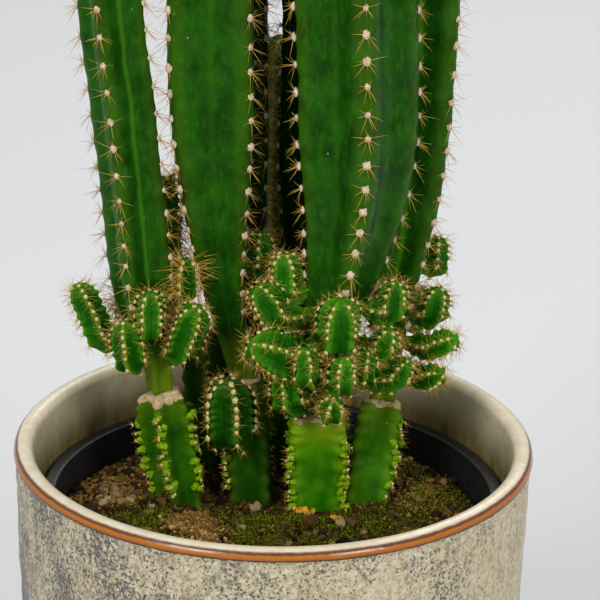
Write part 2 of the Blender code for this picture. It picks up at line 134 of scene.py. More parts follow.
# Offsets: parent, height, azimuth, reach of the foot, rise, length and radius.
OFFSETS = {
    "offset_left_1": ("column_left", 165, 184, 8, 66, 19, 3.9),
    "offset_left_2": ("column_left", 160, 228, 5, 78, 14, 3.9),
    "offset_left_3": ("column_left", 171, 280, 4.2, 84, 13, 3.5),
    "offset_left_4": ("column_left", 163, 324, 5, 66, 18, 4.3),
    "offset_left_5": ("column_left", 179, 8, 4.6, 84, 11, 3.8),
    "offset_left_6": ("column_left", 163, 80, 8, 87, 48, 4.1),
    "offset_left_7": ("column_left", 164, 124, 5, 66, 13, 4.0),
    "offset_middle": ("stump_mid_left", 136, 252, 6.6, 84, 19, 5.9),
    "offset_centre_1": ("column_mid_left", 184, 14, 4, 86, 11, 3.6),
    "offset_centre_2": ("column_centre", 182, 188, 5.2, 84, 12, 4.2),
    "offset_centre_3": ("column_centre", 175, 200, 9, 58, 13, 4.3),
    "offset_centre_4": ("column_centre", 164.5, 219, 11, 28, 14, 5.4),
    "offset_centre_5": ("column_centre", 159, 252, 10, 78, 11, 3.2),
    "offset_centre_6": ("column_centre", 149, 226, 9, 74, 11, 3.8),
    "offset_centre_7": ("column_centre", 147, 284, 8, 60, 8, 2.8),
    "offset_centre_8": ("column_centre", 173, 276, 8, 76, 14, 5.2),
    "offset_centre_9": ("column_centre", 158, 288, 11, 80, 10, 3.2),
    "offset_centre_10": ("column_centre", 159, 316, 10, 74, 9, 3.1),
    "offset_centre_11": ("column_centre", 177, 345, 9, 80, 10, 3.6),
    "offset_centre_12": ("column_centre", 166, 333, 12, 66, 8, 3.3),
    "offset_centre_13": ("column_centre", 155, 349, 15, 50, 9, 3.3),
    "offset_right_1": ("column_right", 181, 20, 5, 86, 10, 3.0),
    "offset_right_2": ("column_right", 170, 332, 6.4, 74, 10, 3.7),
    "offset_right_3": ("column_right", 161, 326, 8.4, 30, 11, 3.5),
    "offset_right_4": ("column_right", 153, 316, 9.5, 25, 9, 3.2),
    "offset_right_5": ("column_right", 160, 98, 4.8, 68, 13, 4.0),
    "offset_right_6": ("column_right", 163, 50, 4.8, 64, 11, 3.8),
    "offset_back_1": ("column_back_left", 162, 135, 4.8, 66, 14, 4.1),
    "offset_back_2": ("column_back_right", 161, 48, 4.8, 66, 13, 4.1),
    "offset_back_4": ("column_back_left", 158, 70, 13.5, 88, 88, 5.2),
    "offset_back_3": ("column_back_right", 154, 100, 4.8, 50, 10, 3.8),
}

# The visual stems: distance between rings, points from rib to rib, distance between areoles at the foot and
# higher up, and the depth of the notches between areoles as a share of the radius.
FRAMES = 240
DOME_RINGS = 14
LEVEL_LENGTH = 4 * MM
COLUMN_RING, COLUMN_RIB_POINTS = 1.3 * MM, 18
COLUMN_AREOLE_GAPS = (6.2 * MM, 8.2 * MM)
COLUMN_SCALLOP = 0.014
BARE_FOOT = 22 * MM
OFFSET_RING, OFFSET_RIB_POINTS = 0.55 * MM, 10
OFFSET_AREOLE_GAPS = (2.7 * MM, 2.7 * MM)
OFFSET_SCALLOP = 0.10
OFFSET_FULLNESS = 1.2
OFFSET_HOLLOWS = 0.68
OFFSET_ROOT = 1.2 * MM
STUMP_RING, STUMP_RIB_POINTS = 0.9 * MM, 16
STUMP_AREOLE_GAPS = (5.2 * MM, 5.2 * MM)
STUMP_SCALLOP = 0.05
STUMP_DOME = 0.9
AREOLE_STEP = 0.004
# An areole's fan of spines: azimuths in degrees from straight down, how many are always there, and which of
# them are the short upper ones and the one that stands out.
FAN = (-112, -74, -40, -6, 30, 66, 104, 165, -158, 20)
SURE_SPINES = 5
UPPER_SPINES = (7, 8)
CENTRAL_SPINE = 3
HAIR_RADIUS = 0.09 * MM
# Tones run from 0, dark, to 1; the back columns' low tones are painted shade. Lines are how plainly the
# valleys of a column show as pale lines, a painted highlight.
COLUMN_TONES_AND_SHADE = {"column_left": 0.80, "column_mid_left": 0.85, "column_back_left": 0.05, "column_centre": 1.0,
                "column_back_right": 0.05, "column_right": 0.9}
COLUMN_VALLEY_HIGHLIGHTS = {"column_left": 0.55, "column_right": 0.7}
PLAIN_VALLEY_HIGHLIGHT = 0.12
SPINY_OFFSETS = ("offset_left_5", "offset_left_6", "offset_left_7", "offset_back_4")
# Old stems: ribs with buds, size of a bud in millimetres, tones of skin and buds, depth of the callus in
# millimetres, and how yellow the skin is under it. The buds keep to a share of the stem's length, and the gap
# between them is in bud sizes.
BUDDED = (0.40, 0.88)
BUD_GAP = 2.0
# The low tones of stump_mid_left, stump_back and stump_back_left are painted shade; stump_back_left, near
# black, fills a shaded mass behind the stems.
STUMP_LOOKS = {
    "stump_left": ((4, 0, 1, 2, 3), 1.35, 0.45, 1.0, 2.8, 0.3),
    "stump_mid_left": ((0, 2), 1.0, 0.12, 0.4, 1.7, 0.3),
    "stump_centre": ((2, 3, 0, 1), 1.2, 1.0, 1.0, 0.7, 0.6),
    "stump_right": ((3, 0), 1.1, 0.6, 1.0, 1.7, 0.3),
    "stump_back": ((0, 1, 3, 4), 1.4, 0.3, 0.5, 1.7, 0.3),
    "stump_back_left": ((0, 2, 3), 1.0, 0.02, 0.2, 0.4, 0.3),
}

# The visual pots and soil: distance between rings, and points round them.
COVER_POT_RING, COVER_POT_POINTS = 1.8 * MM, 300
NURSERY_POT_RING, NURSERY_POT_POINTS = 3 * MM, 200
SOIL_RINGS, SOIL_POINTS = 96, 260
# Low heaps of soil and moss: plan position, width and height in millimetres.
HEAPS = ((20, -40, 13, 3.2), (-18, -42, 10, 2.8), (-46, 8, 12, 2.4), (46, 14, 13, 3.6), (-24, -12, 7, 3.4),
         (6, -11, 8, 3.0), (16, -14, 7, 2.4), (34, 38, 12, 2.5), (-34, 36, 12, 2.0))
# Plan positions in millimetres round which loose matter is gathered.
GRIT_PLACES = [(-44, -18), (-38, -2), (-47, 9), (-50, 5), (-44, 4)]
MOSS_PLACES = [(-22, -34), (-4, -44), (26, -36), (-37, -3), (-33, -7), (-41, -6), (-7, -4), (-10, -12),
               (9, -8), (18, -10), (28, -3), (46, 6), (36, 34), (-30, 34), (52, 16), (10, 62), (-12, 60)]
SPHAGNUM_PLACES = [(-24, -11), (-21, -14), (-27, -9), (-17, -17), (-25, -12), (-14, -46)]
HUSK_PLACES = [(-54, 12), (-50, 18), (-46, 22), (-48, 6), (46, 18), (52, 6)]
FERTILISER_PLACES = [(8.5, 2.5), (10, 2), (19, -4)]

# The studio: each light's place, width and power, and the point they face. The camera is the one that fits
# the rim's ellipse in the photo.
FLOOR_REACH = 6.0
LIGHTS = {"key": ((-0.95, -1.25, 1.35), 0.7, 17), "fill": ((1.0, -1.25, 1.1), 0.6, 11),
          "back": ((0.4, 1.4, 1.5), 1.0, 9)}
LIT_POINT = (0, 0, 0.18)
SKY_COLOUR, SKY_STRENGTH = (0.93, 0.96, 1.0, 1), 0.50
CAMERA_LENS, CAMERA_SENSOR = 140.16, 36
CAMERA_PLACE = (0.00697, -0.64024, 0.42589)
CAMERA_RIGHT = (0.99978, 0.00742, 0.01958)
CAMERA_UP = (-0.02094, 0.35421, 0.93493)


# ---------------------------------------------------------------- meshes

def set_values(mesh, values):
    """Float attributes of a mesh's points. Each is one number, or one for each point."""
    for label, data in values.items():
        attribute = mesh.attributes.new(label, "FLOAT", "POINT")
        attribute.data.foreach_set("value", np.full(len(mesh.vertices), data, np.float32))


def make_piece(name, points, faces, materials, values=None, slots=None, smooth=True):
    """A mesh object from arrays. values are attributes of its points, slots its faces' materials."""
    mesh = bpy.data.meshes.new(name)
    mesh.from_pydata(np.asarray(points, float).tolist(), [], [list(map(int, f)) for f in faces])
    set_values(mesh, values or {})
    for material in materials:
        mesh.materials.append(material)
    if slots is not None:
        mesh.polygons.foreach_set("material_index", np.asarray(slots, np.int32))
    mesh.polygons.foreach_set("use_smooth", np.full(len(mesh.polygons), smooth))
    mesh.validate()
    mesh.update()
    item = bpy.data.objects.new(name, mesh)
    bpy.context.collection.objects.link(item)
    return item


def grid_faces(rings, around):
    """Faces of a closed skin of rings, then its two poles as the last points."""
    faces = []
    for k in range(rings - 1):
        low = k * around
        for i in range(around):
            a, b = low + i, low + (i + 1) % around
            faces.append((a, b, b + around, a + around))
    first, last = rings * around, rings * around + 1
    top = (rings - 1) * around
    faces += [((i + 1) % around, i, first) for i in range(around)]
    faces += [(top + i, top + (i + 1) % around, last) for i in range(around)]
    return faces


class Scatter:
    """Many small closed shapes gathered into one mesh."""

    def __init__(self):
        self.points, self.faces, self.slots, self.values = [], [], [], []
        self.count = 0

    def gather(self, placed, faces, slot, values):
        """Copies of one shape. placed is copies by points by 3, values has one number for each such point."""
        copies, points = placed.shape[:2]
        starts = self.count + np.arange(copies) * points
        self.points.append(placed.reshape(-1, 3))
        self.faces.append((faces[None] + starts[:, None, None]).reshape(-1, 3))
        self.slots.append(np.full(copies * len(faces), slot))
        self.values.append(values)
        self.count += copies * points

    def add(self, shape, axes, origins, values):
        """Copies of shape = (points, triangles), one for each 3 by 3 axes (rows) and origin."""
        points, faces = shape
        placed = np.einsum("pk,nkj->npj", points, axes) + origins[:, None, :]
        self.gather(placed, faces, 0, np.repeat(values, len(points)))

    def piece(self, name, materials, smooth=True):
        points, faces, slots, shade = map(np.concatenate, (self.points, self.faces, self.slots, self.values))
        return make_piece(name, points, faces, materials, {"shade": shade}, slots, smooth)


def ball_shape(levels, lumps, flat=1.0, seed=0):
    """An icosphere of radius 1 with lumps, flattened along Z."""
    t = (1 + math.sqrt(5)) / 2
    points = [(-1, t, 0), (1, t, 0), (-1, -t, 0), (1, -t, 0), (0, -1, t), (0, 1, t), (0, -1, -t), (0, 1, -t),
              (t, 0, -1), (t, 0, 1), (-t, 0, -1), (-t, 0, 1)]
    faces = [(0, 11, 5), (0, 5, 1), (0, 1, 7), (0, 7, 10), (0, 10, 11), (1, 5, 9), (5, 11, 4), (11, 10, 2),
             (10, 7, 6), (7, 1, 8), (3, 9, 4), (3, 4, 2), (3, 2, 6), (3, 6, 8), (3, 8, 9), (4, 9, 5),
             (2, 4, 11), (6, 2, 10), (8, 6, 7), (9, 8, 1)]
    points = [Vector(p).normalized() for p in points]
    for _ in range(levels):
        middles, split = {}, []

        def middle(a, b):
            key = (min(a, b), max(a, b))
            if key not in middles:
                middles[key] = len(points)
                points.append((points[a] + points[b]).normalized())
            return middles[key]

        for a, b, c in faces:
            ab, bc, ca = middle(a, b), middle(b, c), middle(c, a)
            split += [(a, ab, ca), (b, bc, ab), (c, ca, bc), (ab, bc, ca)]
        faces = split
    shift = Vector((seed * 3.7, seed * 1.3, seed * 2.1))
    bumped = [p * (1 + lumps * noise.noise(p * 1.9 + shift)) for p in points]
    return np.array([(p.x, p.y, p.z * flat) for p in bumped]), np.array(faces)


def needle_shape():
    """A three-sided needle of length 1 along Z and base radius 1 across, its foot sunk a little below 0."""
    points, faces = [], []
    for z, width in ((-0.04, 0.8), (0.35, 0.95), (0.72, 0.62)):
        for i in range(3):
            a = 2 * math.pi * i / 3
            points.append((width * math.cos(a), width * math.sin(a), z))
    points.append((0, 0, 1))
    for k in range(2):
        for i in range(3):
            j = (i + 1) % 3
            a, b, c, d = k * 3 + i, k * 3 + j, (k + 1) * 3 + j, (k + 1) * 3 + i
            faces += [(a, b, c), (a, c, d)]
    faces += [(6, 7, 9), (7, 8, 9), (8, 6, 9), (0, 2, 1)]
    return np.array(points, float), np.array(faces)


HAIR = (np.array([(1, 0, 0), (-0.5, 0.87, 0), (-0.5, -0.87, 0), (0, 0, 1)], float),
        np.array([(0, 1, 3), (1, 2, 3), (2, 0, 3), (0, 2, 1)]))
TUFTS = [ball_shape(1, 0.55, 0.62, seed) for seed in range(5)]
STONES = [ball_shape(1, 0.8, 0.75, seed) for seed in range(6, 14)]
GRAINS = [ball_shape(0, 0.9, 0.8, seed) for seed in range(20, 26)]
NEEDLE = needle_shape()
BUDS = [ball_shape(2, 0.75, 0.95, seed) for seed in range(30, 36)]


def unit(vectors):
    return vectors / np.maximum(np.linalg.norm(vectors, axis=-1, keepdims=True), 1e-12)


def needles(scatter, origins, directions, lengths, radii, bends, slot, values):
    """Curved spines. A bend is the sideways drift of the tip, downwards, over the length."""
    directions = unit(directions)
    helper = np.where(np.abs(directions[:, 2:]) < 0.9, [[0, 0, 1.0]], [[1.0, 0, 0]])
    across = unit(np.cross(directions, helper))
    other = np.cross(directions, across)
    points, faces = NEEDLE
    along = points[:, 2]
    placed = (
        origins[:, None, :]
        + directions[:, None, :] * (along[None, :, None] * lengths[:, None, None])
        + across[:, None, :] * (points[None, :, 0, None] * radii[:, None, None])
        + other[:, None, :] * (points[None, :, 1, None] * radii[:, None, None])
    )
    placed[:, :, 2] -= (along[None, :] ** 2) * (bends * lengths)[:, None]
    shades = values[:, None] * 0.5 + 0.5 * np.clip(along, 0, 1)[None, :]
    scatter.gather(placed, faces, slot, shades.ravel())


# ---------------------------------------------------------------- materials

class Shader:
    """One Principled material, with short calls for the nodes behind it."""

    def __init__(self, name, **fixed):
        self.material = bpy.data.materials.new(name)
        self.material.use_nodes = True
        self.tree = self.material.node_tree
        self.main = self.tree.nodes["Principled BSDF"]
        for label, value in fixed.items():
            self.main.inputs[label.replace("_", " ")].default_value = value

    def node(self, kind, inputs, output=0, **settings):
        made = self.tree.nodes.new("ShaderNode" + kind)
        for label, value in settings.items():
            setattr(made, label, value)
        for key, value in inputs.items():
            if isinstance(value, bpy.types.NodeSocket):
                self.tree.links.new(value, made.inputs[key])
            else:
                made.inputs[key].default_value = value
        return made.outputs[output]

    def place(self, scale=(1, 1, 1)):
        """Object coordinates in millimetres, stretched by scale."""
        coords = self.node("TexCoord", {}, "Object")
        return self.node("Mapping", {"Vector": coords, "Scale": tuple(1000 * s for s in scale)})

    def value(self, label):
        return self.node("Attribute", {}, "Fac", attribute_name=label)

    def noise(self, size, detail=3.0, scale=(1, 1, 1), rough=0.55):
        """Noise whose blobs are about size millimetres wide."""
        return self.node("TexNoise", {"Vector": self.place(scale), "Scale": 1 / size, "Detail": detail,
                                      "Roughness": rough})

    def cells(self, size, scale=(1, 1, 1)):
        """Distance to the nearest of many points about size millimetres apart."""
        inputs = {"Vector": self.place(scale), "Scale": 1 / size}
        return self.node("TexVoronoi", inputs, "Distance", feature="F1")

    def maths(self, operation, a, b=0.0):
        return self.node("Math", {0: a, 1: b}, operation=operation)

    def plus(self, a, b):
        return self.maths("ADD", a, b)

    def times(self, a, b):
        return self.maths("MULTIPLY", a, b)

    def span(self, value, low, high, to_low=0.0, to_high=1.0):
        return self.node("MapRange", {"Value": value, "From Min": low, "From Max": high, "To Min": to_low,
                                      "To Max": to_high}, interpolation_type="SMOOTHSTEP")

    def ramp(self, value, *stops):
        made = self.tree.nodes.new("ShaderNodeValToRGB")
        self.tree.links.new(value, made.inputs[0])
        elements = made.color_ramp.elements
        while len(elements) < len(stops):
            elements.new(0.5)
        for element, (place, colour) in zip(elements, stops):
            element.position = place
            element.color = (*colour, 1)
        return made.outputs[0]

    def mix(self, share, a, b, blend="MIX"):
        inputs = {0: share, 6: a if isinstance(a, bpy.types.NodeSocket) else (*a, 1),
                  7: b if isinstance(b, bpy.types.NodeSocket) else (*b, 1)}
        return self.node("Mix", inputs, 2, data_type="RGBA", blend_type=blend)

    def bump(self, height, distance, strength=1.0):
        """Adds a bump to the ones already there. distance is in millimetres."""
        inputs = {"Height": height, "Distance": distance * MM, "Strength": strength}
        below = self.main.inputs["Normal"]
        if below.is_linked:
            inputs["Normal"] = below.links[0].from_socket
        self.link("Normal", self.node("Bump", inputs))

    def link(self, label, socket):
        self.tree.links.new(socket, self.main.inputs[label])

    def roughness(self, size, detail, low, high):
        self.link("Roughness", self.span(self.noise(size, detail), 0.3, 0.7, low, high))


def skin_material(name, deep, face, valley, young, ridge, roughness):
    """Living cactus skin: a valley colour drawn along the valleys, a painted highlight on the columns and
    painted shade on the offsets, lighter rib edges, specks and a yellower foot.
    """
    s = Shader(name, IOR=1.42, Specular_IOR_Level=0.16, Specular_Tint=(0.75, 1.0, 0.4, 1))
    rib, tone, youth, line = (s.value(label) for label in ("rib", "tone", "youth", "line"))
    broad, fine = s.noise(9, 3), s.noise(1.6, 4, (1, 1, 0.5))
    colour = s.mix(s.span(broad, 0.3, 0.7), deep, face)
    # Valley lines: a painted highlight where the valley colour is pale, painted shade where it is dark.
    colour = s.mix(s.times(s.span(rib, 0.36, 0.02), line), colour, valley)
    colour = s.mix(s.times(s.span(fine, 0.45, 0.75), 0.25), colour, valley)
    colour = s.mix(s.span(rib, 0.78, 1.0, 0.0, ridge), colour, young)
    colour = s.mix(youth, colour, young)
    bloom = s.times(s.span(s.noise(14, 4), 0.52, 0.78), 0.05)
    colour = s.mix(bloom, colour, (0.12, 0.30, 0.12))
    # Low tones darken the skin: painted shade on the back columns and the shaded old stems, the stem's own
    # darker green on the rest.
    colour = s.mix(s.span(tone, 0.0, 1.0, 0.75, 0.0), colour, (0.002, 0.014, 0.001))
    specks = s.span(s.cells(3.4), 0.10, 0.05)
    keep = s.span(s.noise(5, 1), 0.60, 0.66)
    speck = s.times(s.times(specks, keep), 0.7)
    colour = s.mix(speck, colour, (0.42, 0.45, 0.22))
    s.link("Base Color", colour)
    s.roughness(4, 4, roughness - 0.07, roughness + 0.12)
    s.bump(s.noise(3.2, 5), 0.30, 0.55)
    s.bump(s.noise(0.45, 3), 0.06, 0.5)
    return s.material


def wool_material(name, dull, pale, flush):
    s = Shader(name, Roughness=0.92)
    colour = s.mix(s.span(s.noise(0.8, 3), 0.3, 0.7), dull, pale)
    colour = s.mix(s.value("shade"), colour, s.mix(s.noise(0.5), flush, pale))
    s.link("Base Color", colour)
    s.main.inputs["Sheen Weight"].default_value = 0.35
    s.main.inputs["Sheen Roughness"].default_value = 0.5
    s.bump(s.noise(0.25, 3), 0.15, 0.8)
    return s.material


def spine_material():
    s = Shader("amber_spine", IOR=1.5, Specular_IOR_Level=0.3)
    shade = s.value("shade")
    colour = s.ramp(shade, (0.0, (0.78, 0.54, 0.10)), (0.45, (0.60, 0.34, 0.035)), (0.8, (0.40, 0.17, 0.015)),
                    (1.0, (0.22, 0.06, 0.008)))
    colour = s.mix(s.times(s.noise(1.2, 2), 0.3), colour, (0.76, 0.58, 0.16))
    s.link("Base Color", colour)
    s.roughness(0.8, 2, 0.38, 0.55)
    return s.material


def cork_material():
    s = Shader("corky_callus")
    colour = s.ramp(s.noise(1.8, 5, rough=0.65), (0.28, (0.22, 0.14, 0.04)), (0.42, (0.42, 0.30, 0.12)),
                    (0.56, (0.58, 0.42, 0.22)), (0.74, (0.80, 0.64, 0.42)))
    s.link("Base Color", colour)
    s.roughness(2, 3, 0.7, 0.95)
    s.bump(s.noise(0.9, 5, rough=0.7), 0.25, 0.7)
    return s.material


def glaze_material():
    """Speckled matt glaze outside, darker on the left partly by painted shade, an iron band under the rim,
    cream on the rim with painted shade turning the inside khaki lower down, and a bare foot.
    """
    s = Shader("stoneware_glaze", IOR=1.5)
    split = s.node("SeparateXYZ", {"Vector": s.node("TexCoord", {}, "Object")}, 2)
    z = s.times(split, 1000)
    inside = s.value("inside")
    # azimuth carries the dense value, heavier on the left: its extra dark blue-grey and speckle there are
    # partly the glaze's own and partly painted shade.
    azimuth = s.value("dense")
    drips = (1, 1, 0.75)
    streak = s.noise(4.5, 4, (1, 1, 0.35))
    mottle = s.noise(1.3, 6, (1, 1, 0.85), 0.72)
    colour = s.ramp(mottle, (0.28, (0.16, 0.12, 0.07)), (0.42, (0.37, 0.30, 0.18)),
                    (0.54, (0.56, 0.48, 0.31)), (0.72, (0.70, 0.64, 0.46)))
    colour = s.mix(s.span(streak, 0.42, 0.70, 0.0, 0.5), colour, (0.64, 0.56, 0.40))
    rust = s.times(s.span(s.noise(3.0, 5, drips), 0.52, 0.70), 0.55)
    colour = s.mix(rust, colour, (0.30, 0.16, 0.07))
    blue = s.plus(s.noise(3.4, 6, drips, 0.7), s.times(azimuth, 1.5))
    colour = s.mix(s.span(blue, 0.60, 0.72, 0.0, 0.45), colour, (0.13, 0.135, 0.115))
    speck_density_and_shade = s.plus(s.span(s.noise(16, 4, (1, 1, 0.6)), 0.25, 0.75, -0.10, 0.10), azimuth)
    speck_a = s.span(s.plus(s.noise(0.80, 2, (1, 1, 0.9), 0.5), speck_density_and_shade), 0.62, 0.67)
    speck_b = s.span(s.plus(s.noise(1.5, 4, drips, 0.65), speck_density_and_shade), 0.62, 0.70)
    colour = s.mix(s.times(speck_b, 0.55), colour, (0.10, 0.105, 0.11))
    colour = s.mix(s.times(speck_a, 0.80), colour, (0.040, 0.044, 0.052))
    pits = s.span(s.cells(2.6, scale=drips), 0.16, 0.08)
    pits = s.times(pits, s.span(s.plus(s.noise(3.4, 1), speck_density_and_shade), 0.58, 0.62))
    colour = s.mix(pits, colour, (0.03, 0.028, 0.03))
    edge = s.noise(2.4, 3)
    ragged = s.span(edge, 0.25, 0.75, -0.5, 0.5)
    iron = s.span(s.plus(z, s.times(ragged, 0.25)), 136.75, 136.95)
    wander = s.span(s.noise(6, 3), 0.25, 0.75, -0.010, 0.010)
    iron_colour = s.ramp(
        s.plus(inside, wander),
        (0.0, (0.030, 0.010, 0.004)), (0.03, (0.13, 0.030, 0.004)), (0.07, (0.36, 0.105, 0.005)),
        (0.16, (0.46, 0.150, 0.007)), (0.215, (0.12, 0.028, 0.005)), (0.27, (0.08, 0.026, 0.010))
    )
    colour = s.mix(iron, colour, iron_colour)
    cream = s.ramp(s.noise(5, 3), (0.3, (0.72, 0.60, 0.40)), (0.7, (0.86, 0.76, 0.55)))
    # Khaki lower on the inner wall, blending to cream near the rim, is painted shade inside the pot.
    painted_shade_khaki = s.ramp(s.noise(4, 4, (1, 1, 0.3)), (0.3, (0.16, 0.115, 0.038)), (0.7, (0.31, 0.235, 0.095)))
    inner = s.mix(s.span(z, 122, 138.5), painted_shade_khaki, cream)
    top = s.span(s.plus(inside, s.span(edge, 0.25, 0.75, -0.012, 0.012)), 0.25, 0.32)
    colour = s.mix(top, colour, inner)
    off_line = s.maths("ABSOLUTE", s.maths("SUBTRACT", inside, 0.27))
    line = s.times(s.span(off_line, 0.08, 0.0), iron)
    colour = s.mix(s.times(line, 0.55), colour, (0.20, 0.085, 0.05))
    bare = s.span(s.plus(z, ragged), 1.6, 0.9)
    colour = s.mix(bare, colour, (0.34, 0.24, 0.16))
    s.link("Base Color", colour)
    gloss = s.maths("MAXIMUM", iron, top)
    rough = s.maths("SUBTRACT", s.span(s.noise(2, 3), 0.3, 0.7, 0.40, 0.62), s.times(gloss, 0.33))
    s.link("Roughness", s.plus(rough, s.times(bare, 0.35)))
    plain = s.maths("SUBTRACT", 1.0, gloss)
    s.bump(s.times(s.noise(1.3, 4), plain), 0.45, 0.7)
    s.bump(s.times(s.maths("MAXIMUM", speck_a, pits), s.times(plain, -1.0)), 0.30, 0.7)
    s.bump(s.noise(9, 2), 0.5, 0.25)
    return s.material


def plastic_material():
    s = Shader("black_plastic", IOR=1.5)
    dust = s.times(s.span(s.noise(3, 5), 0.45, 0.75), 0.25)
    s.link("Base Color", s.mix(dust, (0.010, 0.011, 0.013), (0.05, 0.045, 0.04)))
    s.roughness(1.2, 4, 0.30, 0.52)
    s.bump(s.noise(0.5, 3), 0.08, 0.6)
    return s.material


def soil_material():
    s = Shader("potting_soil", Specular_IOR_Level=0.1)
    colour = s.ramp(s.noise(1.6, 6, rough=0.7), (0.32, (0.008, 0.004, 0.001)), (0.46, (0.045, 0.024, 0.005)),
                    (0.56, (0.13, 0.075, 0.014)), (0.74, (0.30, 0.19, 0.045)))
    moss = s.times(s.span(s.noise(9, 3), 0.42, 0.56), s.span(s.noise(1.4, 4), 0.38, 0.60))
    green = s.mix(s.noise(3), (0.050, 0.070, 0.002), (0.17, 0.16, 0.008))
    colour = s.mix(s.times(moss, 0.8), colour, green)
    s.link("Base Color", colour)
    s.roughness(1, 3, 0.75, 1.0)
    s.bump(s.noise(1.1, 6, rough=0.75), 1.1, 0.9)
    s.bump(s.cells(1.3), 0.5, 0.7)
    return s.material


def scatter_material(name, size, roughness, *stops):
    """Loose matter whose colour runs over the stops by each grain's own shade."""
    s = Shader(name, Specular_IOR_Level=0.1)
    colour = s.ramp(s.value("shade"), *stops)
    darker = s.mix(0.6, colour, (0.0, 0.0, 0.0))
    colour = s.mix(s.span(s.noise(size, 4), 0.35, 0.7, 0.0, 0.55), colour, darker)
    s.link("Base Color", colour)
    s.roughness(size * 2, 3, roughness - 0.1, roughness + 0.1)
    s.bump(s.noise(size * 0.7, 4), 0.3 * size, 0.7)
    return s.material


WOOL = wool_material("areole_wool", (0.48, 0.31, 0.19), (0.82, 0.66, 0.48), (0.64, 0.42, 0.31))
PUP_WOOL = wool_material("young_wool", (0.52, 0.36, 0.08), (0.90, 0.78, 0.34), (0.70, 0.52, 0.13))
SPINE, CORK = spine_material(), cork_material()
# The column skin's pale valley colour, drawn along the valleys, is a painted highlight.
COLUMN_SKIN = skin_material(
    "column_skin", deep=(0.003, 0.036, 0.001), face=(0.010, 0.088, 0.002), valley=(0.050, 0.215, 0.003),
    young=(0.150, 0.250, 0.006), ridge=0.12, roughness=0.42
)
# The offset skin's dark valley colour, drawn along the valleys, is painted shade.
OFFSET_SKIN = skin_material(
    "offset_skin", deep=(0.006, 0.090, 0.001), face=(0.022, 0.180, 0.003), valley=(0.004, 0.070, 0.001),
    young=(0.120, 0.330, 0.010), ridge=0.55, roughness=0.30
)
OLD_SKIN = skin_material(
    "old_skin", deep=(0.014, 0.120, 0.001), face=(0.060, 0.250, 0.002), valley=(0.080, 0.270, 0.003),
    young=(0.250, 0.380, 0.006), ridge=0.25, roughness=0.40
)


# ---------------------------------------------------------------- stems

def ease(value):
    value = np.clip(value, 0.0, 1.0)
    return value * value * (3 - 2 * value)


def smooth_route(points, steps):
    """Evenly spaced points on a Catmull-Rom curve through the given ones."""
    points = [np.array(p, float) for p in points]
    padded = [2 * points[0] - points[1], *points, 2 * points[-1] - points[-2]]
    t = (np.arange(24) / 24)[:, None]
    dense = []
    for p0, p1, p2, p3 in zip(padded, padded[1:], padded[2:], padded[3:]):
        a = 2 * p1 + (p2 - p0) * t
        b = (2 * p0 - 5 * p1 + 4 * p2 - p3) * t * t
        c = (3 * p1 - p0 - 3 * p2 + p3) * t * t * t
        dense.append(0.5 * (a + b + c))
    dense = np.concatenate([*dense, points[-1][None]])
    lengths = np.concatenate([[0], np.cumsum(np.linalg.norm(np.diff(dense, axis=0), axis=1))])
    wanted = np.linspace(0, lengths[-1], steps + 1)
    return np.stack([np.interp(wanted, lengths, dense[:, k]) for k in range(3)], 1), lengths[-1]


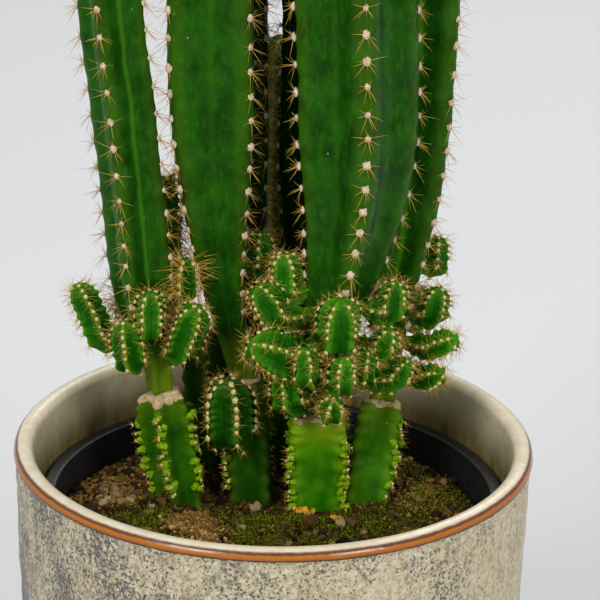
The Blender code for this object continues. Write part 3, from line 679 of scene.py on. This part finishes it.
class Stem:
    """A ribbed stem along a smooth route, as the CAD makes it, with scalloped ribs and places for areoles."""

    def __init__(self, points, radius_at, ribs, turn, valley, level_ends, scallop, gaps, dome_start):
        self.route, self.length = smooth_route(points, FRAMES)
        self.points, self.radius_at, self.ribs, self.valley = points, radius_at, ribs, valley
        self.scallop, self.dome_start = scallop, dome_start
        ahead = unit(np.gradient(self.route, axis=0))
        up = np.array([0, 0, 1.0])
        if level_ends:
            fade = ease(np.arange(FRAMES + 1) * self.length / FRAMES / LEVEL_LENGTH)[:, None]
            ahead = unit(up * (1 - fade) + ahead * fade)
        out = np.array([math.cos(turn), math.sin(turn), 0]) if level_ends else up
        outs = []
        for direction in ahead:
            out = out - direction * out.dot(direction)
            out = out / np.linalg.norm(out)
            outs.append(out)
        self.ahead, self.out = ahead, np.array(outs)
        self.side = np.cross(self.ahead, self.out)
        self.marks = [self.areole_marks(gaps) for _ in range(ribs)]

    def areole_marks(self, gaps):
        """Distances along the stem of one rib's areoles, closer together at the tip."""
        low, high = gaps
        place = low * rng.uniform(0.35, 1.0)
        marks = []
        while place < self.length:
            marks.append(place)
            left = (self.length - place) / self.length
            middle = low + (high - low) * ease(place / (0.5 * self.length))
            near_tip = 0.45 + 0.55 * ease((self.length - place) / (3.2 * high))
            place += middle * near_tip * rng.uniform(0.9, 1.1) * (1.0 if left > 0.03 else 1.4)
        return np.array(marks)

    def surface(self, share, angle, scalloped=True):
        """Points of the skin, from arrays of shares of the length and angles round it."""
        spot = share * FRAMES
        k = np.clip(spot.astype(int), 0, FRAMES - 1)
        t = (spot - k)[..., None]
        centre = self.route[k] * (1 - t) + self.route[k + 1] * t
        out = unit(self.out[k] * (1 - t) + self.out[k + 1] * t)
        side = unit(self.side[k] * (1 - t) + self.side[k + 1] * t)
        crest = np.abs(np.cos(self.ribs * angle / 2)) ** 3
        radius = self.radius_at(share) * (self.valley + (1 - self.valley) * crest)
        if scalloped:
            rib = np.rint(angle * self.ribs / (2 * math.pi)).astype(int) % self.ribs
            wave = np.zeros_like(radius)
            for number, marks in enumerate(self.marks):
                here = rib == number
                if len(marks) > 1:
                    index = np.interp(share[here] * self.length, marks, np.arange(len(marks)))
                    wave[here] = np.cos(2 * math.pi * index)
            radius = radius * (1 + self.scallop * crest**1.6 * wave)
        return centre + radius[..., None] * (np.cos(angle)[..., None] * out + np.sin(angle)[..., None] * side)

    def skin(self, ring_gap, per_rib):
        """The skin's points and faces, with each point's share of the length and height of rib."""
        body = max(2, int(round(self.length * self.dome_start / ring_gap)))
        shares = list(np.linspace(0, self.dome_start, body + 1))
        turns = np.linspace(0, math.pi / 2, DOME_RINGS + 1)[1:-1]
        shares += list(self.dome_start + (1 - self.dome_start) * np.sin(turns))
        shares = np.array(shares)
        around = self.ribs * per_rib
        angles = 2 * math.pi * np.arange(around) / around
        share, angle = np.meshgrid(shares, angles, indexing="ij")
        points = self.surface(share.ravel(), angle.ravel())
        points = np.concatenate([points, self.route[:1], self.route[-1:]])
        rib = np.abs(np.cos(self.ribs * angle.ravel() / 2))
        return (points, grid_faces(len(shares), around), np.concatenate([share.ravel(), [0, 1]]),
                np.concatenate([rib, [0.5, 0.5]]))

    def areoles(self, first_share=0.0, last_share=0.995):
        """Each areole's place, outward direction, direction along the stem and share of the length."""
        rows = []
        for number, marks in enumerate(self.marks):
            share = marks / self.length
            share = share[(share >= first_share) & (share <= last_share)]
            if not len(share):
                continue
            angle = np.full(len(share), 2 * math.pi * number / self.ribs)
            spot = self.surface(share, angle)
            above = self.surface(np.minimum(share + AREOLE_STEP, 1.0), angle, False)
            below = self.surface(np.maximum(share - AREOLE_STEP, 0.0), angle, False)
            left = self.surface(share, angle - 0.02, False)
            right = self.surface(share, angle + 0.02, False)
            up, across = unit(above - below), unit(right - left)
            rows.append((spot, unit(np.cross(across, up)), up, share))
        return tuple(np.concatenate([row[i] for row in rows]) for i in range(4))


def grow_areoles(scatter, spots, size, spine_length, spine_count, spine_radius, hairs, crowd=0.0):
    """Woolly tufts with short hairs and a fan of spines. crowd lengthens the spines near the tip."""
    place, normal, up, share = spots
    count = len(place)
    across = np.cross(up, normal)
    sizes = size * rng.uniform(0.8, 1.2, count)
    kind = rng.integers(0, len(TUFTS), count)
    tone = rng.uniform(0, 1, count)
    for number, shape in enumerate(TUFTS):
        here = kind == number
        grown = sizes[here][:, None]
        axes = np.stack([across[here] * grown, up[here] * grown * 1.15, normal[here] * grown], 1)
        scatter.add(shape, axes, place[here] + normal[here] * grown * 0.22, tone[here])
    owner = np.repeat(np.arange(count), hairs)
    turn = rng.uniform(0, 2 * math.pi, len(owner))
    lean = rng.uniform(0.15, 1.35, len(owner))
    sideways = np.cos(turn)[:, None] * across[owner] + np.sin(turn)[:, None] * up[owner]
    way = np.cos(lean)[:, None] * normal[owner] + np.sin(lean)[:, None] * sideways
    long = sizes[owner] * rng.uniform(0.9, 1.7, len(owner))
    helper = unit(np.cross(way, up[owner] + 0.01))
    third = np.cross(way, helper)
    axes = np.stack([helper * HAIR_RADIUS, third * HAIR_RADIUS, way * long[:, None]], 1)
    start = place[owner] + way * (sizes[owner] * 0.45)[:, None]
    scatter.add(HAIR, axes, start, tone[owner] * 0.5)
    for number in range(spine_count):
        held = rng.uniform(0, 1, count) < (1.0 if number < SURE_SPINES else 0.72)
        turn = np.radians(FAN[number % len(FAN)] + rng.normal(0, 13, count))
        lean = np.radians(rng.uniform(48, 74, count))
        long = spine_length * rng.uniform(0.55, 1.15, count)
        if number in UPPER_SPINES:
            long *= 0.55
        if number == CENTRAL_SPINE:
            lean = np.radians(rng.uniform(5, 35, count))
        long = long * (1 + crowd * ease((share - 0.6) / 0.4))
        way = (np.cos(lean)[:, None] * normal
               + np.sin(lean)[:, None] * (np.sin(turn)[:, None] * across - np.cos(turn)[:, None] * up))
        long, way, start = long[held], way[held], (place + normal * (sizes * 0.25)[:, None])[held]
        thick = spine_radius * rng.uniform(0.8, 1.2, len(long))
        drift = rng.uniform(-0.04, 0.12, len(long))
        needles(scatter, start, way, long, thick, drift, 1, rng.uniform(0, 0.9, len(long)))


def dome(share, start):
    """Width of a rounded tip that begins at the given share of the length."""
    beyond = np.clip((share - start) / (1 - start), 0, 1)
    return np.sqrt(1 - beyond * beyond)


def weathered(points, amount, size):
    """Small uneven swellings, as mesh."""
    shifts = [noise.noise_vector(Vector(p) / size) for p in points]
    return points + amount * np.array(shifts)


def soil_height(x, y):
    """The CAD soil's surface."""
    edge = min(1.0, math.hypot(x, y) / (lip_radius() - LIP_WIDTH)) ** 6
    wave = math.sin(x / (11 * MM)) * math.cos(y / (14 * MM) + 0.6)
    away = math.hypot(x - HOLLOW_PLACE[0], y - HOLLOW_PLACE[1]) / HOLLOW_WIDTH
    level = lip_height() - SOIL_BELOW_LIP - HOLLOW_DEPTH * math.exp(-away * away)
    return level - SOIL_FALL * x - SOIL_EDGE_DROP * edge + SOIL_UNDULATION * wave


def pot_inner_radius(height):
    share = height / POT_HEIGHT
    outer = POT_BASE_RADIUS + (POT_RIM_RADIUS - POT_BASE_RADIUS) * share
    return outer - POT_WALL - (POT_RIM_WIDTH - POT_WALL) * share


def lip_height():
    return POT_HEIGHT - LIP_BELOW_RIM


def lip_radius():
    return pot_inner_radius(lip_height()) - LIP_GAP


def stump_stem(spec):
    x, y = (value * MM for value in spec["foot"])
    foot = np.array([x, y, soil_height(x, y)])
    top = np.array(spec["top"]) * MM
    buried = foot - np.array([0, 0, STUMP_DEPTH])
    points = [buried, foot, (foot + top) / 2, top]
    shoulder = 1 - SHOULDER / np.linalg.norm(top - buried)
    low, high = (value * MM for value in spec["radii"])

    def radius_at(share):
        body = low + (high - low) * ease(share / shoulder)
        drop = np.clip((share - shoulder) / (1 - shoulder), 0, 1)
        return body * (CALLUS_SHARE + (1 - CALLUS_SHARE) * np.sqrt(1 - drop * drop))

    turn = math.radians(spec["turn"])
    return Stem(points, radius_at, spec["ribs"], turn, VALLEY_SHARE, True, STUMP_SCALLOP, STUMP_AREOLE_GAPS,
                STUMP_DOME)


def column_stem(spec):
    top = np.array(STUMPS[spec["stump"]]["top"]) * MM
    foot = top + np.array([spec["shift"][0] * MM, spec["shift"][1] * MM, CLEARANCE])
    points = [foot, *(np.array(place) * MM for place in spec["line"])]
    length = sum(np.linalg.norm(b - a) for a, b in zip(points, points[1:]))
    radius, neck, swell = spec["radius"] * MM, spec["foot"] * MM, spec["swell"] * MM / length
    start = 1 - DOME_LENGTH * radius / length

    def radius_at(share):
        return (neck + (radius - neck) * ease(share / swell)) * dome(share, start)

    turn = math.radians(spec["turn"])
    return Stem(points, radius_at, COLUMN_RIBS, turn, VALLEY_SHARE, True, COLUMN_SCALLOP, COLUMN_AREOLE_GAPS,
                start)


def seat(parent, axis, height, azimuth, reach):
    """Where a round foot of radius reach meets the CAD parent's skin, and the direction out of it."""
    k = next(i for i in range(1, len(axis)) if axis[i].z >= height or i == len(axis) - 1)
    share = (height - axis[k - 1].z) / (axis[k].z - axis[k - 1].z)
    centre = axis[k - 1].lerp(axis[k], share)
    out = Vector((math.cos(azimuth), math.sin(azimuth), 0))
    side = Vector((-out.y, out.x, 0))
    up = Vector((0, 0, 1))
    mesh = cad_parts[parent].data
    tree = BVHTree.FromPolygons([v.co for v in mesh.vertices], [p.vertices for p in mesh.polygons])
    turns = [2 * math.pi * i / SEAT_SAMPLES for i in range(SEAT_SAMPLES)]
    around = [math.cos(turn) * side + math.sin(turn) * up for turn in turns]
    spots = [Vector()] + [reach * share * spoke for share in (0.25, 0.5, 0.75, 1) for spoke in around]
    hits = [tree.ray_cast(centre + spot + out * RAY_START, -out)[0] for spot in spots]
    return centre + out * max((hit - centre).dot(out) for hit in hits if hit is not None), out


def offset_stem(spec, stems):
    height, reach, length, radius = (spec[i] * MM for i in (1, 3, 5, 6))
    azimuth, rise = math.radians(spec[2]), math.radians(spec[4])
    axis = [Vector(p) for p in stems[spec[0]].points]
    foot, out = seat(spec[0], axis, height, azimuth, radius * OFFSET_NECK)
    slope = out * math.cos(rise) + Vector((0, 0, math.sin(rise)))
    elbow = foot + out * reach
    points = [foot - out * OFFSET_ROOT, elbow, elbow + slope * length / 2, elbow + slope * length]
    full = radius * OFFSET_FULLNESS
    start = 1 - DOME_LENGTH * full / (length + reach)

    def radius_at(share):
        return full * (OFFSET_NECK + (1 - OFFSET_NECK) * ease(share / OFFSET_SWELL)) * dome(share, start)

    return Stem(points, radius_at, OFFSET_RIBS, 0, OFFSET_HOLLOWS, False, OFFSET_SCALLOP, OFFSET_AREOLE_GAPS,
                start)


def put(item, slot, *nodes):
    """Fastens a piece to the one body and hides the CAD nodes it stands for. slot, the finish's name, is not
    used.
    """
    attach(item, "root")
    if nodes:
        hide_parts(*nodes)


def knobs(scatter, spines, stem, numbers, size):
    """Lumpy buds crowded along some ribs of an old stem, each with a little wool and a few spines."""
    low, high = BUDDED
    for number in numbers:
        place = low
        while place < high:
            share = np.array([place])
            angle = np.array([2 * math.pi * number / stem.ribs + rng.normal(0, 0.05)])
            spot = stem.surface(share, angle, False)
            outward = unit(spot - stem.surface(share, angle + math.pi, False))
            grown = size * rng.uniform(0.65, 1.15)
            for _ in range(rng.integers(1, 4)):
                nudge = rng.normal(0, 0.4, 3) * grown
                shape = BUDS[rng.integers(0, len(BUDS))]
                axes = np.eye(3)[None] * grown * rng.uniform(0.65, 1.0)
                scatter.add(shape, axes, spot + outward * grown * 0.25 + nudge, [rng.uniform(0, 1)])
            up = np.array([[0, 0, 1.0]])
            across = unit(np.cross(up, outward))
            tips = spot + outward * grown * 1.15 + rng.normal(0, 0.3, (2, 3)) * grown
            spots = (tips, np.repeat(outward, 2, 0), np.repeat(np.cross(outward, across), 2, 0), np.zeros(2))
            grow_areoles(spines, spots, 0.40 * MM, 2.6 * MM, 3, 0.07 * MM, 3)
            place += BUD_GAP * size * rng.uniform(0.75, 1.25) / stem.length


def make_stumps():
    bud_skin = skin_material(
        "bud_skin", deep=(0.03, 0.19, 0.001), face=(0.13, 0.38, 0.002), valley=(0.20, 0.44, 0.002),
        young=(0.30, 0.46, 0.003), ridge=0.3, roughness=0.36
    )
    stems = {}
    for name, spec in STUMPS.items():
        numbers, size, tone, bud_tone, callus_depth, yellow = STUMP_LOOKS[name]
        stem = stems[name] = stump_stem(spec)
        points, faces, share, rib = stem.skin(STUMP_RING, STUMP_RIB_POINTS)
        points = weathered(points, 0.5 * MM, 6 * MM)
        ragged = np.array([noise.noise(Vector(p) / (3 * MM)) for p in points]) * 1.4 * MM
        callus = ease(((share - 1) * stem.length + callus_depth * MM + ragged) / (0.3 * MM))
        values = dict(rib=rib, tone=tone, youth=yellow * ease((share - 0.75) / 0.2), line=0.0)
        slots = [1 if callus[list(face)].mean() > 0.5 else 0 for face in faces]
        item = make_piece(name, points, faces, [OLD_SKIN, CORK], values, slots)
        put(item, "old_stem", name)
        lumps, spines = Scatter(), Scatter()
        knobs(lumps, spines, stem, numbers, size * MM)
        item = lumps.piece(name + "_buds", [bud_skin])
        set_values(item.data, dict(rib=0.6, tone=bud_tone, youth=0.5, line=0.0))
        put(item, "old_stem")
        put(spines.piece(name + "_spines", [PUP_WOOL, SPINE]), "old_stem")
    return stems


def make_columns(stems):
    for name, spec in COLUMNS.items():
        stem = stems[name] = column_stem(spec)
        points, faces, share, rib = stem.skin(COLUMN_RING, COLUMN_RIB_POINTS)
        points = weathered(points, 0.45 * MM, 11 * MM)
        far = share * stem.length
        youth = 0.85 * ease((18 * MM - far) / (12 * MM)) + 0.35 * ease((share - 0.9) / 0.1)
        values = dict(rib=rib, tone=COLUMN_TONES_AND_SHADE[name], youth=youth, line=COLUMN_VALLEY_HIGHLIGHTS.get(name, PLAIN_VALLEY_HIGHLIGHT))
        item = make_piece(name, points, faces, [COLUMN_SKIN], values)
        put(item, "column_skin", name)
        spines = Scatter()
        size = 0.98 * MM if spec["radius"] > 14 else 0.80 * MM
        spots = stem.areoles(BARE_FOOT / stem.length)
        grow_areoles(spines, spots, size, 6.2 * MM, 10, 0.092 * MM, 9, 0.3)
        put(spines.piece(name + "_spines", [WOOL, SPINE]), "column_skin")


def make_offsets(stems):
    for name, spec in OFFSETS.items():
        stem = offset_stem(spec, stems)
        points, faces, share, rib = stem.skin(OFFSET_RING, OFFSET_RIB_POINTS)
        points = weathered(points, 0.45 * MM, 3.2 * MM)
        youth = 0.6 * ease((0.30 - share) / 0.3) + 0.25 * ease((share - 0.8) / 0.2)
        # offset_middle's lower tone is painted shade, as it sits on the shaded stump_mid_left.
        tone = 0.35 if name == "offset_middle" else rng.uniform(0.6, 1.0)
        # line 0.75 darkens the offsets' valleys with their dark valley colour: painted shade.
        values = dict(rib=rib, tone=tone, youth=youth, line=0.75)
        item = make_piece(name, points, faces, [OFFSET_SKIN], values)
        put(item, "offset_skin", name)
        spines = Scatter()
        spiny = name in SPINY_OFFSETS
        size = (0.72 if spiny or name == "offset_middle" else 0.50) * MM
        long, count, thick = (7.0 * MM, 14, 0.095 * MM) if spiny else (3.4 * MM, 7, 0.062 * MM)
        grow_areoles(spines, stem.areoles(0.16), size, long, count, thick, 5, 0.35)
        put(spines.piece(name + "_spines", [PUP_WOOL, SPINE]), "offset_skin")


# ---------------------------------------------------------------- pots and soil

def arc(centre, radius, start, end, steps):
    angles = [math.radians(start + (end - start) * i / steps) for i in range(steps + 1)]
    return [(centre[0] + radius * math.cos(a), centre[1] + radius * math.sin(a)) for a in angles]


def refined(profile, longest):
    """The profile with its long edges split."""
    made = [profile[0]]
    for a, b in zip(profile, profile[1:]):
        steps = max(1, math.ceil(math.dist(a, b) / longest))
        wide, high = b[0] - a[0], b[1] - a[1]
        made += [(a[0] + wide * i / steps, a[1] + high * i / steps) for i in range(1, steps + 1)]
    return made


def turned(name, profile, around, materials, shift, values):
    """A body turned about Z. shift moves a point of the wall outwards, values give its attributes."""
    rings = profile[1:-1]
    points, extra = [], {label: [] for label in values}
    for r, z in rings:
        for i in range(around):
            a = 2 * math.pi * i / around
            x, y = r * math.cos(a), r * math.sin(a)
            grown = (r + shift(r, z, a)) / r
            points.append((x * grown, y * grown, z))
            for label, function in values.items():
                extra[label].append(function(r, z, a))
    for r, z in (profile[0], profile[-1]):
        points.append((0, 0, z))
        for label, function in values.items():
            extra[label].append(function(0, z, 0))
    return make_piece(name, points, grid_faces(len(rings), around), materials, extra)


def make_cover_pot():
    rim_top = POT_RIM_WIDTH / 2
    band_low = POT_HEIGHT - rim_top - RIM_BAND_HEIGHT
    band_radius = POT_RIM_RADIUS - RIM_BAND_PROUD
    rim_radius = POT_RIM_RADIUS - rim_top
    base_centre = (POT_BASE_RADIUS - POT_BASE_ROUNDING, POT_BASE_ROUNDING)
    foot_inner = POT_BASE_RADIUS - POT_BASE_ROUNDING - FOOT_RING_WIDTH
    cove = POT_BASE_ROUNDING
    floor_radius = pot_inner_radius(POT_FLOOR)
    profile = [(0, FOOT_RING_DEPTH), (foot_inner - FOOT_RING_DEPTH, FOOT_RING_DEPTH), (foot_inner, 0)]
    profile += arc(base_centre, POT_BASE_ROUNDING, -90, 0, 10)
    profile += [(band_radius, band_low - 0.4 * MM), (band_radius + 0.2 * MM, band_low + 0.1 * MM)]
    profile += [(POT_RIM_RADIUS - 0.08 * MM, band_low + RIM_BAND_PROUD)]
    profile += arc((rim_radius, POT_HEIGHT - rim_top), rim_top, 0, 180, 18)
    profile += arc((floor_radius - cove, POT_FLOOR + cove), cove, 0, -90, 8)
    profile += [(0, POT_FLOOR)]

    def shift(r, z, a):
        if r < rim_radius - 0.5 * MM and z < POT_HEIGHT - 1 * MM or z < 1 * MM:
            return 0.0
        spot = Vector((r * math.cos(a), r * math.sin(a), z * 0.8)) / (13 * MM)
        lumps = noise.noise(spot) * 0.42 * MM + noise.noise(spot * 3.1) * 0.14 * MM
        throwing = 0.10 * MM * math.sin(2 * math.pi * z / (11 * MM) + 2 * noise.noise(spot * 0.3))
        below = min(1.0, max(0.0, (band_low - z) / (6 * MM)))
        return (lumps + throwing) * (0.10 + 0.90 * below)

    def inside(r, z, a):
        """0 on the outer wall, 1 inside, and from one to the other over the rounded rim."""
        if z < POT_HEIGHT - rim_top:
            return 0.0 if r > rim_radius or z < FOOT_RING_DEPTH + 0.1 * MM else 1.0
        return math.atan2(max(0.0, z - POT_HEIGHT + rim_top), r - rim_radius) / math.pi

    def dense(r, z, a):
        """Speckles and dark blue-grey lie thicker on the left and lower down; on the left this is partly the
        glaze's own speckle and partly painted shade.
        """
        toward = math.cos(a - math.radians(205))
        return 0.024 + 0.072 * toward + 0.050 * (1 - z / POT_HEIGHT)

    rings = refined(profile, COVER_POT_RING)
    values = {"inside": inside, "dense": dense}
    item = turned("cover_pot", rings, COVER_POT_POINTS, [glaze_material()], shift, values)
    put(item, "stoneware_glaze", "cover_pot")


def make_nursery_pot():
    bottom = POT_FLOOR + CLEARANCE
    top, outer = lip_height(), lip_radius()
    wall_top = outer - LIP_WIDTH
    base = wall_top - NURSERY_TAPER
    rounding = NURSERY_BASE_ROUNDING
    inner_rounding = rounding - NURSERY_WALL
    roll, bevel = 0.7 * MM, 0.3 * MM
    profile = [(0, bottom)]
    profile += arc((base - rounding, bottom + rounding), rounding, -90, 0, 6)
    lip_low = top - LIP_HEIGHT
    profile += [(wall_top, lip_low), (outer - bevel, lip_low), (outer, lip_low + bevel)]
    profile += arc((outer - roll, top - roll), roll, 0, 90, 5)
    profile += arc((wall_top - NURSERY_WALL + roll, top - roll), roll, 90, 180, 5)
    profile += arc((base - rounding, bottom + rounding), inner_rounding, 0, -90, 5)
    profile += [(0, bottom + NURSERY_WALL)]

    def shift(r, z, a):
        spot = Vector((math.cos(a) * 3, math.sin(a) * 3, z / (20 * MM)))
        return 0.12 * MM * noise.noise(spot) if r > base else 0.0

    rings = refined(profile, NURSERY_POT_RING)
    item = turned("nursery_pot", rings, NURSERY_POT_POINTS, [plastic_material()], shift, {})
    put(item, "black_plastic", "nursery_pot")


def soil_edge():
    """The soil surface's outer radius, as in the CAD."""
    bottom = POT_FLOOR + CLEARANCE + NURSERY_WALL + CLEARANCE
    slope = NURSERY_TAPER / (lip_height() - bottom)
    return lip_radius() - LIP_WIDTH - NURSERY_WALL - slope * SOIL_BELOW_LIP - 2 * CLEARANCE, bottom


def soil_surface(x, y):
    """The visible soil: the CAD's surface with clods and grain."""
    spot = Vector((x, y, 0.01))
    clods = noise.fractal(spot / (7 * MM), 0.9, 2.1, 4) * 1.3 * MM
    heaps = sum(high * MM * math.exp(-((x / MM - a) ** 2 + (y / MM - b) ** 2) / wide**2)
                for a, b, wide, high in HEAPS)
    grain = noise.noise(spot / (1.6 * MM)) * 0.45 * MM
    fade = min(1.0, max(0.0, (soil_edge()[0] - math.hypot(x, y)) / (3 * MM)))
    return soil_height(x, y) + heaps * fade + (clods + grain) * (0.35 + 0.65 * fade)


def make_soil():
    edge, bottom = soil_edge()
    base = edge - NURSERY_TAPER * 0.85
    turns = 2 * math.pi * np.arange(SOIL_POINTS) / SOIL_POINTS
    rings = []
    for r, z in ((base - NURSERY_BASE_ROUNDING, bottom), (base, bottom + NURSERY_BASE_ROUNDING)):
        rings.append([(r * math.cos(a), r * math.sin(a), z) for a in turns])
    for share in np.linspace(1, 0.01, SOIL_RINGS):
        spots = [(edge * share * math.cos(a), edge * share * math.sin(a)) for a in turns]
        rings.append([(x, y, soil_surface(x, y)) for x, y in spots])
    points = np.array(rings).reshape(-1, 3).tolist() + [(0, 0, bottom), (0, 0, soil_surface(0, 0))]
    item = make_piece("soil", points, grid_faces(len(rings), SOIL_POINTS), [soil_material()])
    put(item, "potting_soil", "soil")


def soil_spots(count, where=None, spread=None):
    """Random places on the soil, all over it or gathered round some (x, y) centres."""
    edge = soil_edge()[0] - 1.5 * MM
    spots = []
    while len(spots) < count:
        if where is None:
            x, y = rng.uniform(-edge, edge, 2)
        else:
            centre = where[rng.integers(0, len(where))]
            x, y = rng.normal(centre[0] * MM, spread), rng.normal(centre[1] * MM, spread)
        if math.hypot(x, y) < edge:
            spots.append((x, y, soil_surface(x, y)))
    return np.array(spots)


def uniform(low, high, spots):
    """One random number for each of the spots."""
    return rng.uniform(low, high, len(spots))


def strew(scatter, shapes, spots, sizes, values, sink=0.25):
    """Turned and stretched copies of the shapes, each sunk by a share of its size in millimetres."""
    axes = []
    for size in sizes * MM:
        about = Matrix.Rotation(rng.uniform(0, 2 * math.pi), 3, "Z")
        turn = about @ Matrix.Rotation(rng.uniform(-0.9, 0.9), 3, "X")
        axes.append(np.array(turn) * size * np.array([[1], [rng.uniform(0.6, 1.0)], [1]]))
    axes = np.array(axes)
    kind = rng.integers(0, len(shapes), len(spots))
    lifted = spots + np.array([0, 0, 1.0]) * ((sizes * MM)[:, None] * (0.5 - sink))
    for number, shape in enumerate(shapes):
        here = kind == number
        scatter.add(shape, axes[here], lifted[here], values[here])


def make_soil_cover():
    crumb = scatter_material("soil_crumb", 0.9, 0.88, (0.0, (0.010, 0.005, 0.002)),
                             (0.45, (0.060, 0.032, 0.009)), (0.8, (0.17, 0.095, 0.025)),
                             (1.0, (0.36, 0.24, 0.08)))
    grit = scatter_material("pale_grit", 1.4, 0.7, (0.0, (0.09, 0.055, 0.018)), (0.6, (0.26, 0.18, 0.07)),
                            (1.0, (0.46, 0.35, 0.17)))
    moss = scatter_material("moss", 1.2, 0.8, (0.0, (0.016, 0.030, 0.001)), (0.4, (0.070, 0.105, 0.002)),
                            (0.75, (0.20, 0.22, 0.006)), (1.0, (0.38, 0.32, 0.02)))
    fibre = scatter_material("sphagnum", 1.0, 0.85, (0.0, (0.13, 0.065, 0.012)), (0.5, (0.36, 0.20, 0.045)),
                             (1.0, (0.74, 0.52, 0.17)))
    orange = scatter_material("fertiliser_grain", 0.8, 0.6, (0.0, (0.62, 0.26, 0.02)),
                              (1.0, (0.80, 0.46, 0.04)))

    loose = Scatter()
    spots = soil_spots(2600)
    strew(loose, GRAINS, spots, rng.gamma(3.0, 0.24, len(spots)), rng.beta(1.3, 2.2, len(spots)))
    spots = soil_spots(240)
    strew(loose, STONES, spots, uniform(0.8, 1.9, spots), rng.beta(1.5, 1.8, len(spots)))
    put(loose.piece("soil_crumbs", [crumb], smooth=False), "potting_soil")

    pebbles = Scatter()
    spots = np.concatenate([soil_spots(26, GRIT_PLACES, 3.5 * MM), soil_spots(26)])
    strew(pebbles, STONES, spots, uniform(0.9, 2.0, spots), uniform(0, 1, spots))
    put(pebbles.piece("grit", [grit]), "potting_soil")

    green = Scatter()
    spots = np.concatenate([soil_spots(2600, MOSS_PLACES, 6.0 * MM), soil_spots(700)])
    strew(green, GRAINS, spots, uniform(0.25, 0.6, spots), rng.beta(1.4, 1.8, len(spots)), 0.0)
    spots = np.concatenate([soil_spots(4600, MOSS_PLACES, 5.0 * MM), soil_spots(700)])
    lean = rng.normal(0, 0.55, (len(spots), 2))
    way = unit(np.concatenate([lean, np.ones((len(spots), 1))], 1))
    shade = rng.beta(2, 1.6, len(spots))
    needles(green, spots, way, uniform(0.9, 2.6, spots) * MM, uniform(0.16, 0.3, spots) * MM,
            uniform(0, 0.4, spots), 0, shade)
    put(green.piece("moss_beds", [moss]), "potting_soil")

    tufts = Scatter()
    spots = soil_spots(1300, SPHAGNUM_PLACES, 2.6 * MM)
    spots[:, 2] += uniform(0.1, 2.4, spots) * MM
    flat_way, rise = rng.normal(0, 1, (len(spots), 2)), rng.normal(0.15, 0.45, (len(spots), 1))
    way = unit(np.concatenate([flat_way, rise], 1))
    needles(tufts, spots, way, uniform(0.8, 2.6, spots) * MM, uniform(0.14, 0.30, spots) * MM,
            uniform(-0.1, 0.4, spots), 0, uniform(0, 1, spots))
    spots = soil_spots(1500, SPHAGNUM_PLACES, 2.8 * MM)
    strew(tufts, GRAINS, spots, uniform(0.35, 0.9, spots), uniform(0, 1, spots), -0.8)
    spots = soil_spots(1300, HUSK_PLACES, 6 * MM)
    strew(tufts, GRAINS, spots, uniform(0.3, 0.9, spots), uniform(0, 0.5, spots), 0.1)
    put(tufts.piece("sphagnum_tufts", [fibre]), "potting_soil")

    specks = Scatter()
    spots = soil_spots(30, FERTILISER_PLACES, 0.9 * MM)
    strew(specks, STONES, spots, uniform(0.7, 1.2, spots), uniform(0, 1, spots), -0.7)
    put(specks.piece("fertiliser_grains", [orange]), "potting_soil")


# ---------------------------------------------------------------- floor, light, camera

def make_floor():
    s = Shader("pale_floor", Roughness=0.75)
    s.link("Base Color", s.mix(s.noise(6, 4), (0.800, 0.800, 0.792), (0.812, 0.812, 0.804)))
    corners = [(-1, -1), (1, -1), (1, 1), (-1, 1)]
    points = [(x * FLOOR_REACH, y * FLOOR_REACH, -CLEARANCE) for x, y in corners]
    make_piece("floor", points, [(0, 1, 2, 3)], [s.material], smooth=False)


def make_studio():
    for name, (place, width, power) in LIGHTS.items():
        light = bpy.data.lights.new(name, "AREA")
        light.shape, light.size, light.energy = "SQUARE", width, power
        item = bpy.data.objects.new(name, light)
        item.location = place
        item.rotation_euler = (Vector(LIT_POINT) - Vector(place)).to_track_quat("-Z", "Y").to_euler()
        bpy.context.collection.objects.link(item)
    world = bpy.data.worlds.new("studio")
    world.use_nodes = True
    sky = world.node_tree.nodes["Background"]
    sky.inputs["Color"].default_value = SKY_COLOUR
    sky.inputs["Strength"].default_value = SKY_STRENGTH
    bpy.context.scene.world = world
    bpy.context.scene.view_settings.view_transform = "Standard"


def make_camera():
    camera = bpy.data.cameras.new("camera")
    camera.lens, camera.sensor_width = CAMERA_LENS, CAMERA_SENSOR
    item = bpy.data.objects.new("camera", camera)
    right, up = Vector(CAMERA_RIGHT), Vector(CAMERA_UP)
    turn = Matrix((right, up, right.cross(up))).transposed().to_4x4()
    item.matrix_world = Matrix.Translation(CAMERA_PLACE) @ turn
    bpy.context.collection.objects.link(item)
    bpy.context.scene.camera = item


make_cover_pot()
make_nursery_pot()
make_soil()
make_soil_cover()
grown = make_stumps()
make_columns(grown)
make_offsets(grown)
make_floor()
make_studio()
make_camera()
